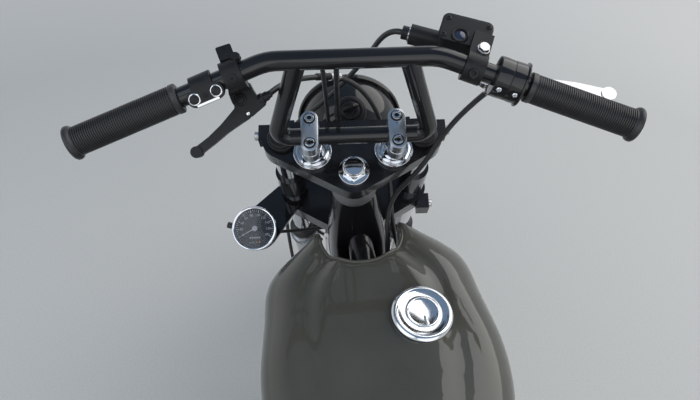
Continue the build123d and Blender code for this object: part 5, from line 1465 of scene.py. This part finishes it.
class MOTORCYCLE_OT_intake_and_exhaust(PieceMaker, bpy.types.Operator):
    """Pleat the air filter, and add the carburettor's and exhaust's fittings"""
    bl_idname = "motorcycle.intake_and_exhaust"
    bl_label = "Intake and exhaust"

    def execute(self, context):
        self.filter()
        self.carburettor()
        self.exhaust()
        return {"FINISHED"}

    def filter(self):
        place = BIKE @ frame_of((CYLINDER_X - 186, 0, 588), (-1, 0, 0))
        pleats, pleat_depth = 54, 2.6
        mesh = bmesh.new()
        turned(mesh, [(24, -1), (30, 0), (31.5, 2), (31.5, 9), (34, 10)], place, 48, 1)
        loops = [[polar(reach if number % 2 else reach - pleat_depth, angle, height)
                  for number, angle in enumerate(around(2 * pleats))]
                 for reach, height in ((37.0, 13), (39.6, 15), (39.6, 78), (37.0, 80))]
        stack(mesh, loops, place, ends="none")
        for low in (10, 78):
            turned(mesh, [(30, low), (38.4, low), (39.8, low + 1.4), (39.8, low + 4.4), (38.6, low + 5.4),
                          (30, low + 5.4)], place, 48, 2)
        turned(mesh, [(34, 83), (34, 86), (30, 89.4), (6, 90)], place, 48, 2)
        cone = piece("pleated_filter", mesh, "frame",
                     "filter_cloth grip_rubber bright_chrome", 35.0)
        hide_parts("air_filter")

    def carburettor(self):
        mesh = bmesh.new()
        top = BIKE @ frame_of((-88, 0, 646), (0, 0, 1))
        count = 60
        knurls = [[polar(22.2 if number % 2 else 21.5, angle, height)
                   for number, angle in enumerate(around(count))] for height in (-14, -4)]
        stack(mesh, [circle_loop(21.2, -15, count), *knurls, circle_loop(19.5, -1, count),
                     circle_loop(8, 0.4, count)], top)
        hexagon_bolt(mesh, top, 6.0, 7.0, 8.0, 1)
        turned(mesh, [(4.6, 6), (4.6, 14), (4.0, 15)], top, 16, 1)
        bowl = BIKE @ frame_of((-88, 0, 500), (0, 0, -1))
        turned(mesh, [(25.6, -23), (26.4, -22), (26.4, -19), (25.4, -18)], bowl, 48)
        for angle in around(4, 0.5):
            slotted_screw(mesh, bowl @ Matrix.Translation(polar(19, angle)), 2.8, 1)
        hexagon_bolt(mesh, bowl, 6.5, 6.0, 8.0, 1)
        side = BIKE @ frame_of((-110, 22, 584), (0, 1, 0))
        turned(mesh, [(4, 0), (4, 4), (2.4, 4.6), (2.4, 12), (3.8, 12.6), (3.8, 16), (3, 16.6)], side, 16, 1)
        clip = BIKE @ frame_of((CYLINDER_X - 98, 0, 588), (-1, 0, 0))
        turned(mesh, [(24.2, 0), (26.2, 0.4), (26.2, 8.6), (24.2, 9)], clip, 40, 1)
        socket_bolt(mesh, clip @ frame_of((27, -8, 4.5), (0, 1, 0)), 3.2, 14, 1)
        piece("carburettor_fittings", mesh, "frame", "polished_alloy fastener_steel", 30.0)

    def exhaust(self):
        """The flange on the head, the clamp band and the silencer's seams."""
        mesh = bmesh.new()
        port = BIKE @ frame_of((CYLINDER_X + 94, -26, 588), (1, 0, 0))
        profile = [(21, -1)]
        for number in range(4):
            low = 1 + 5.2 * number
            profile += [(32 - number, low), (32 - number, low + 1.8), (26, low + 2.4), (26, low + 5.0)]
        turned(mesh, profile + [(20, 23)], port, 48)
        for side in (1, -1):
            hexagon_bolt(mesh, port @ shift(0, side * 36, -3), 4.6, 5.4, 6.4, 1)
        stack(mesh, [slot_loop(36, 8.4, -3.4, 32), slot_loop(36, 8.4, 1.2, 32)], port @ spin(math.pi / 2), 1)
        band = BIKE @ frame_of((-226, -157.6, 261.7), (-1, 0, 0.03))
        turned(mesh, [(20, 0), (23.6, 0.5), (24.2, 2), (24.2, 13), (23.6, 14.5), (20, 15)], band, 40, 1)
        for along in (120.0, 420.0):
            seam = BIKE @ frame_of((-236 - along, -158, 262 + 0.03 * along), (-1, 0, 0.03))
            turned(mesh, [(42.6, -1.6), (43.7, -1.2), (43.9, 0), (43.7, 1.2), (42.6, 1.6)], seam, 64, 2)
        piece("exhaust_fittings", mesh, "frame",
              "cast_alloy fastener_steel exhaust_chrome", 30.0)


class MOTORCYCLE_OT_chain_links(PieceMaker, bpy.types.Operator):
    """Build the drive chain's plates, rollers and rivets"""
    bl_idname = "motorcycle.chain_links"
    bl_label = "Chain"

    # Where the chain runs, in millimetres on the upright machine
    link_count = 94
    middle_y = 74.0
    engine_x, engine_z, engine_r = -150.0, 330.0, 41.0
    wheel_r = 91.0

    def execute(self, context):
        mesh = bmesh.new()
        spots, pitch = self.run()
        for number, (x, z, turn) in enumerate(spots):
            place = BIKE @ frame_of((x, self.middle_y, z), (0, 1, 0), (math.cos(turn), 0, math.sin(turn)))
            outer = number % 2 == 0
            end_r, heights = (5.1, (5.0, 6.9)) if outer else (4.8, (3.0, 4.9))
            for side in (1, -1):
                stack(mesh, [self.plate(pitch / 2, end_r, side * height) for height in heights], place)
            for end in (1, -1):
                pin = place @ shift(end * pitch / 2, 0, 0)
                if outer:
                    turned(mesh, [(1.6, -8.2), (2.2, -7.8), (2.2, 7.8), (1.6, 8.2)], pin, 8, 1)
                else:
                    turned(mesh, [(4.2, -3.0), (4.2, 3.0)], pin, 10, 1)
        chain = piece("drive_chain", mesh, "frame", "chain_steel fastener_steel", 40.0)
        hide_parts("chain")
        return {"FINISHED"}

    def plate(self, half, end_r, height):
        """A link plate's outline, waisted between its two pins."""
        sweep = [math.radians(angle) for angle in range(-110, 111, 44)]
        return [Vector((end * (half + end_r * math.cos(t)), end * end_r * math.sin(t), height))
                for end in (1, -1) for t in sweep]

    def run(self):
        """Places and headings at equal steps round both sprockets, and the step."""
        x1, z1, r1 = self.engine_x, self.engine_z, self.engine_r
        x2, z2, r2 = REAR_AXLE.x, REAR_AXLE.z, self.wheel_r
        apart = math.hypot(x2 - x1, z2 - z1)
        tilt = math.asin((r2 - r1) / apart)
        heading = math.atan2(z2 - z1, x2 - x1)
        straight = apart * math.cos(tilt)
        big_arc = r2 * (math.pi + 2 * tilt)
        total = 2 * straight + big_arc + r1 * (math.pi - 2 * tilt)
        upper, lower = heading - math.pi / 2 - tilt, heading + math.pi / 2 + tilt
        spots = []
        for number in range(self.link_count):
            at = total * number / self.link_count
            if at < straight:
                spots.append(self.on_run(x1, z1, r1, upper, at, heading - tilt))
            elif at < straight + big_arc:
                angle = upper + (at - straight) / r2
                spots.append(self.on_run(x2, z2, r2, angle, 0, angle + math.pi / 2))
            elif at < 2 * straight + big_arc:
                back = at - straight - big_arc
                spots.append(self.on_run(x2, z2, r2, lower, back, heading + tilt + math.pi))
            else:
                angle = lower + (at - 2 * straight - big_arc) / r1
                spots.append(self.on_run(x1, z1, r1, angle, 0, angle + math.pi / 2))
        return spots, total / self.link_count

    def on_run(self, x, z, radius, angle, past, heading):
        """The place past a point on a sprocket's pitch circle, on this heading, and the heading."""
        return (x + radius * math.cos(angle) + past * math.cos(heading),
                z + radius * math.sin(angle) + past * math.sin(heading), heading)


class MOTORCYCLE_OT_running_gear(PieceMaker, bpy.types.Operator):
    """Add axle nuts, brake fittings, footrest rubbers and the battery's strap"""
    bl_idname = "motorcycle.running_gear"
    bl_label = "Running gear"

    def execute(self, context):
        self.front()
        self.rear()
        self.rubbers()
        self.battery_strap()
        return {"FINISHED"}

    def front(self):
        """The front axle's nuts, and the caliper's bolts, piston covers and bleed nipple."""
        mesh = bmesh.new()
        for side in (1, -1):
            axle_end = STEERING @ frame_of((FORK_OFFSET, side * 121.2, -FORK_LENGTH), (0, side, 0))
            hexagon_bolt(mesh, axle_end, 11, 7, 14)
        tilt = math.radians(30)
        caliper = STEERING @ frame_of((-62, 75.8, -622), (0, 1, 0), (math.cos(tilt), 0, math.sin(tilt)))
        for x in (-19, 19):
            for y in (-36, 36):
                socket_bolt(mesh, caliper @ shift(x, y, 0), 4.6, 4, 0, 1)
        for y in (-15, 15):
            turned(mesh, [(13.4, -0.6), (13.4, 1.2), (12, 2.2), (9.4, 2.4), (9, 1.2), (0.8, 1.0)],
                   caliper @ shift(0, y, 0), 32, 1)
        bleed = caliper @ shift(-22, 22, -12) @ frame_of((0, 0, 0), (-1, 0.2, 0))
        turned(mesh, [(3.4, 0), (3.4, 10), (2.0, 11), (2.0, 15), (2.8, 16), (2.4, 18)], bleed, 12)
        banjo = STEERING @ frame_of((-58, 76.4, -606), (0, 1, 0))
        hexagon_bolt(mesh, banjo @ shift(0, 0, 1), 5.6, 5, 7.4)
        piece("front_brake_fittings", mesh, "steering", "fastener_steel satin_black", 32.0)

    def rear(self):
        """The rear axle's nuts and chain adjusters, and the drum brake's rod, wing nut and bolts."""
        mesh = bmesh.new()
        for side in (1, -1):
            axle_end = BIKE @ frame_of((REAR_AXLE.x, side * 121.6, REAR_AXLE.z), (0, side, 0))
            hexagon_bolt(mesh, axle_end, 12, 4.2, 15)
            tail = BIKE @ frame_of((-724, side * 107, REAR_AXLE.z), (-1, 0, 0))
            turned(mesh, [(3, -2), (3, 20), (2.4, 21)], tail, 12)
            hexagon_bolt(mesh, tail @ shift(0, 0, 0.4), 5.2, 5)
        hexagon_bolt(mesh, BIKE @ frame_of((-735, -101.6, 283), (0, -1, 0)), 5.0, 4.4, 6.4)
        rod = BIKE @ frame_of((-745, -97, 228), (-1, 0, -0.07))
        turned(mesh, [(3.2, 4), (3.2, 26), (2.6, 27)], rod, 12)
        for turn in (0, math.pi):
            loops = [[Vector((2.2 + out, p.y * 0.5, p.x)) for p in rounded_loop(half, half_y, 1.4, 0)]
                     for out, half, half_y in ((0, 4, 3.2), (10, 6, 2.24))]
            stack(mesh, loops, rod @ shift(0, 0, 14) @ spin(turn))
        for spot in ((-662, -85.6, 290), (-520, -88.6, 318)):
            hexagon_bolt(mesh, BIKE @ frame_of(spot, (0, -1, 0)), 5.0, 4.2, 7.0)
        piece("rear_brake_fittings", mesh, "frame", "fastener_steel", 32.0)

    def rubbers(self):
        """The ribbed sleeves of the footrests and pedals."""
        mesh = bmesh.new()
        for spot, side, inner_r, outer_r, length in (
                ((-200, 130, 392), 1, 11.2, 13.0, 96), ((-200, -130, 392), -1, 11.2, 13.0, 96),
                ((-40, 122, 372), 1, 9.1, 10.6, 29), ((-60, -136, 384), -1, 10.1, 11.8, 29)):
            profile = [(inner_r, 0), (outer_r, 0.8), (outer_r, 4)]
            height = 5.0
            while height < length - 6:
                profile += [(outer_r - 1.3, height), (outer_r - 1.3, height + 1.6), (outer_r, height + 2.2),
                            (outer_r, height + 4.4)]
                height += 5.2
            profile += [(outer_r, length - 0.8), (inner_r, length)]
            turned(mesh, profile, BIKE @ frame_of(spot, (0, side, 0)), 24)
        piece("foot_rubbers", mesh, "frame", "grip_rubber", 35.0)

    def battery_strap(self):
        """The rubber strap round the battery box, and its buckle."""
        mesh = bmesh.new()
        box = BIKE @ frame_of((-264, 0, 520), (1, 0, 0), (0, 1, 0))
        stack(mesh, [rounded_loop(75 + grow, 75 + grow, 12, height) for grow, height in
                     ((0.1, -13), (2.0, -12.4), (2.0, 12.4), (0.1, 13))], box, ends="none")
        buckle = BIKE @ frame_of((-264, 77, 548), (0, 1, 0), (1, 0, 0))
        stack(mesh, [rounded_loop(15, 9, 2, -0.4), rounded_loop(15, 9, 2, 1.6),
                     rounded_loop(13.6, 7.6, 2, 2.4)], buckle, 1)
        for x in (-8, 0, 8):
            turned(mesh, [(1.6, 2.2), (1.4, 2.9), (0.5, 3.1)], buckle @ shift(x, 0, 0), 12, 1)
        piece("battery_strap", mesh, "frame", "grip_rubber fastener_steel", 35.0)


class MOTORCYCLE_OT_studio(PieceMaker, bpy.types.Operator):
    """Set the floor, the soft lights and the camera"""
    bl_idname = "motorcycle.studio"
    bl_label = "Studio"

    floor_half = 30.0
    # The floor's own light, which meets the sky at its far edge, and the metres where it starts and ends
    floor_light, light_start, light_end = (0.85, 0.82, 0.79), 2.4, 6.5

    def execute(self, context):
        context.scene.view_settings.view_transform = "Standard"
        self.floor()
        self.sky()
        self.lights()
        self.camera()
        return {"FINISHED"}

    def floor(self):
        mesh = bmesh.new()
        half = self.floor_half
        corners = [(-half, -half), (half, -half), (half, half), (-half, half)]
        mesh.faces.new([mesh.verts.new((x, y, 0)) for x, y in corners])
        floor = mesh_object("studio_floor", mesh)
        pale = colours().floor
        material = grained("studio_floor", pale, tones=(tinted(pale, 0.96), tinted(pale, 1.03)),
                           grain=(240, 4), span=(0.4, 0.6), roughness=0.85)
        floor.data.materials.append(material)
        away = add_node(material, "ShaderNodeVectorMath", operation="LENGTH")
        join(material, own_space(material), away.inputs[0])
        inputs = shader_of(material).inputs
        inputs["Emission Color"].default_value = (*self.floor_light, 1)
        glow = ramp(material, away.outputs["Value"], 0.0, 0.5, self.light_start, self.light_end)
        join(material, glow, inputs["Emission Strength"])

    def sky(self):
        world = bpy.data.worlds.new("studio_world")
        bpy.context.scene.world = world
        world.use_nodes = True
        tree = world.node_tree
        background = tree.nodes["Background"]
        background.inputs["Strength"].default_value = 0.78
        direction = tree.nodes.new("ShaderNodeTexCoord")
        height = tree.nodes.new("ShaderNodeSeparateXYZ")
        blue = colour_ramp(tree, ((0.24, (0.80, 0.82, 0.84)), (0.75, (0.20, 0.29, 0.42))))
        tree.links.new(direction.outputs["Generated"], height.inputs["Vector"])
        tree.links.new(height.outputs["Z"], blue.inputs["Fac"])
        tree.links.new(blue.outputs["Color"], background.inputs["Color"])

    def lights(self):
        for name, place, aim, size, power, tint in (
                ("key_light", (1.2, -2.6, 3.6), (0.1, 0.0, 0.6), 4.6, 105, (1.0, 0.97, 0.92)),
                ("fill_light", (-1.6, 2.8, 3.0), (0.1, 0.0, 0.6), 4.4, 50, (0.92, 0.96, 1.0)),
                ("rear_light", (-3.2, -0.8, 2.4), (-0.3, 0, 0.6), 4.0, 32, (1, 1, 1))):
            lamp = bpy.data.lights.new(name, "AREA")
            lamp.shape = "DISK"
            lamp.size = size
            lamp.energy = power
            lamp.color = tint
            placed(name, lamp).matrix_world = frame_of(place, Vector(place) - Vector(aim))

    def camera(self):
        view = bpy.data.cameras.new("photo_camera")
        view.sensor_width = 36.0
        view.lens = 29.62
        view.clip_start = 0.02
        holder = placed("photo_camera", view)
        axes = Matrix((CAMERA_RIGHT, CAMERA_UP, -CAMERA_AHEAD)).transposed()
        holder.matrix_world = Matrix.Translation(CAMERA_PLACE) @ axes.to_4x4()
        bpy.context.scene.camera = holder


STEPS = (
    MOTORCYCLE_OT_studio, MOTORCYCLE_OT_node_finishes, MOTORCYCLE_OT_tank, MOTORCYCLE_OT_tail_cowl,
    MOTORCYCLE_OT_filler_cap, MOTORCYCLE_OT_seat, MOTORCYCLE_OT_tyres, MOTORCYCLE_OT_wheel_fittings,
    MOTORCYCLE_OT_grips, MOTORCYCLE_OT_speedometer, MOTORCYCLE_OT_headlamp, MOTORCYCLE_OT_bar_clamps,
    MOTORCYCLE_OT_steering_head, MOTORCYCLE_OT_hand_controls, MOTORCYCLE_OT_cables, MOTORCYCLE_OT_shocks,
    MOTORCYCLE_OT_tail_lamp, MOTORCYCLE_OT_engine_fittings, MOTORCYCLE_OT_intake_and_exhaust,
    MOTORCYCLE_OT_chain_links, MOTORCYCLE_OT_running_gear,
)


class MOTORCYCLE_PT_panel(bpy.types.Panel):
    """The motorcycle's pieces, in the order in which they are made"""
    bl_idname = "MOTORCYCLE_PT_panel"
    bl_label = "Motorcycle"
    bl_space_type = "VIEW_3D"
    bl_region_type = "UI"
    bl_category = "Motorcycle"

    def draw(self, context):
        layout = self.layout
        for settings in (context.scene.motorcycle_colours, context.scene.motorcycle_sizes):
            box = layout.box()
            for key in settings.bl_rna.properties.keys():
                if key not in ("rna_type", "name"):
                    box.prop(settings, key)
        for step in STEPS:
            layout.operator(step.bl_idname)


CLASSES = (FinishColours, FittingSizes, *STEPS, MOTORCYCLE_PT_panel)


def register():
    for item in CLASSES:
        bpy.utils.register_class(item)
    bpy.types.Scene.motorcycle_colours = bpy.props.PointerProperty(type=FinishColours)
    bpy.types.Scene.motorcycle_sizes = bpy.props.PointerProperty(type=FittingSizes)


def unregister():
    del bpy.types.Scene.motorcycle_sizes
    del bpy.types.Scene.motorcycle_colours
    for item in reversed(CLASSES):
        bpy.utils.unregister_class(item)


def main():
    register()
    for step in STEPS:
        group, name = step.bl_idname.split(".")
        getattr(getattr(bpy.ops, group), name)()


if __name__ == "__main__":
    main()
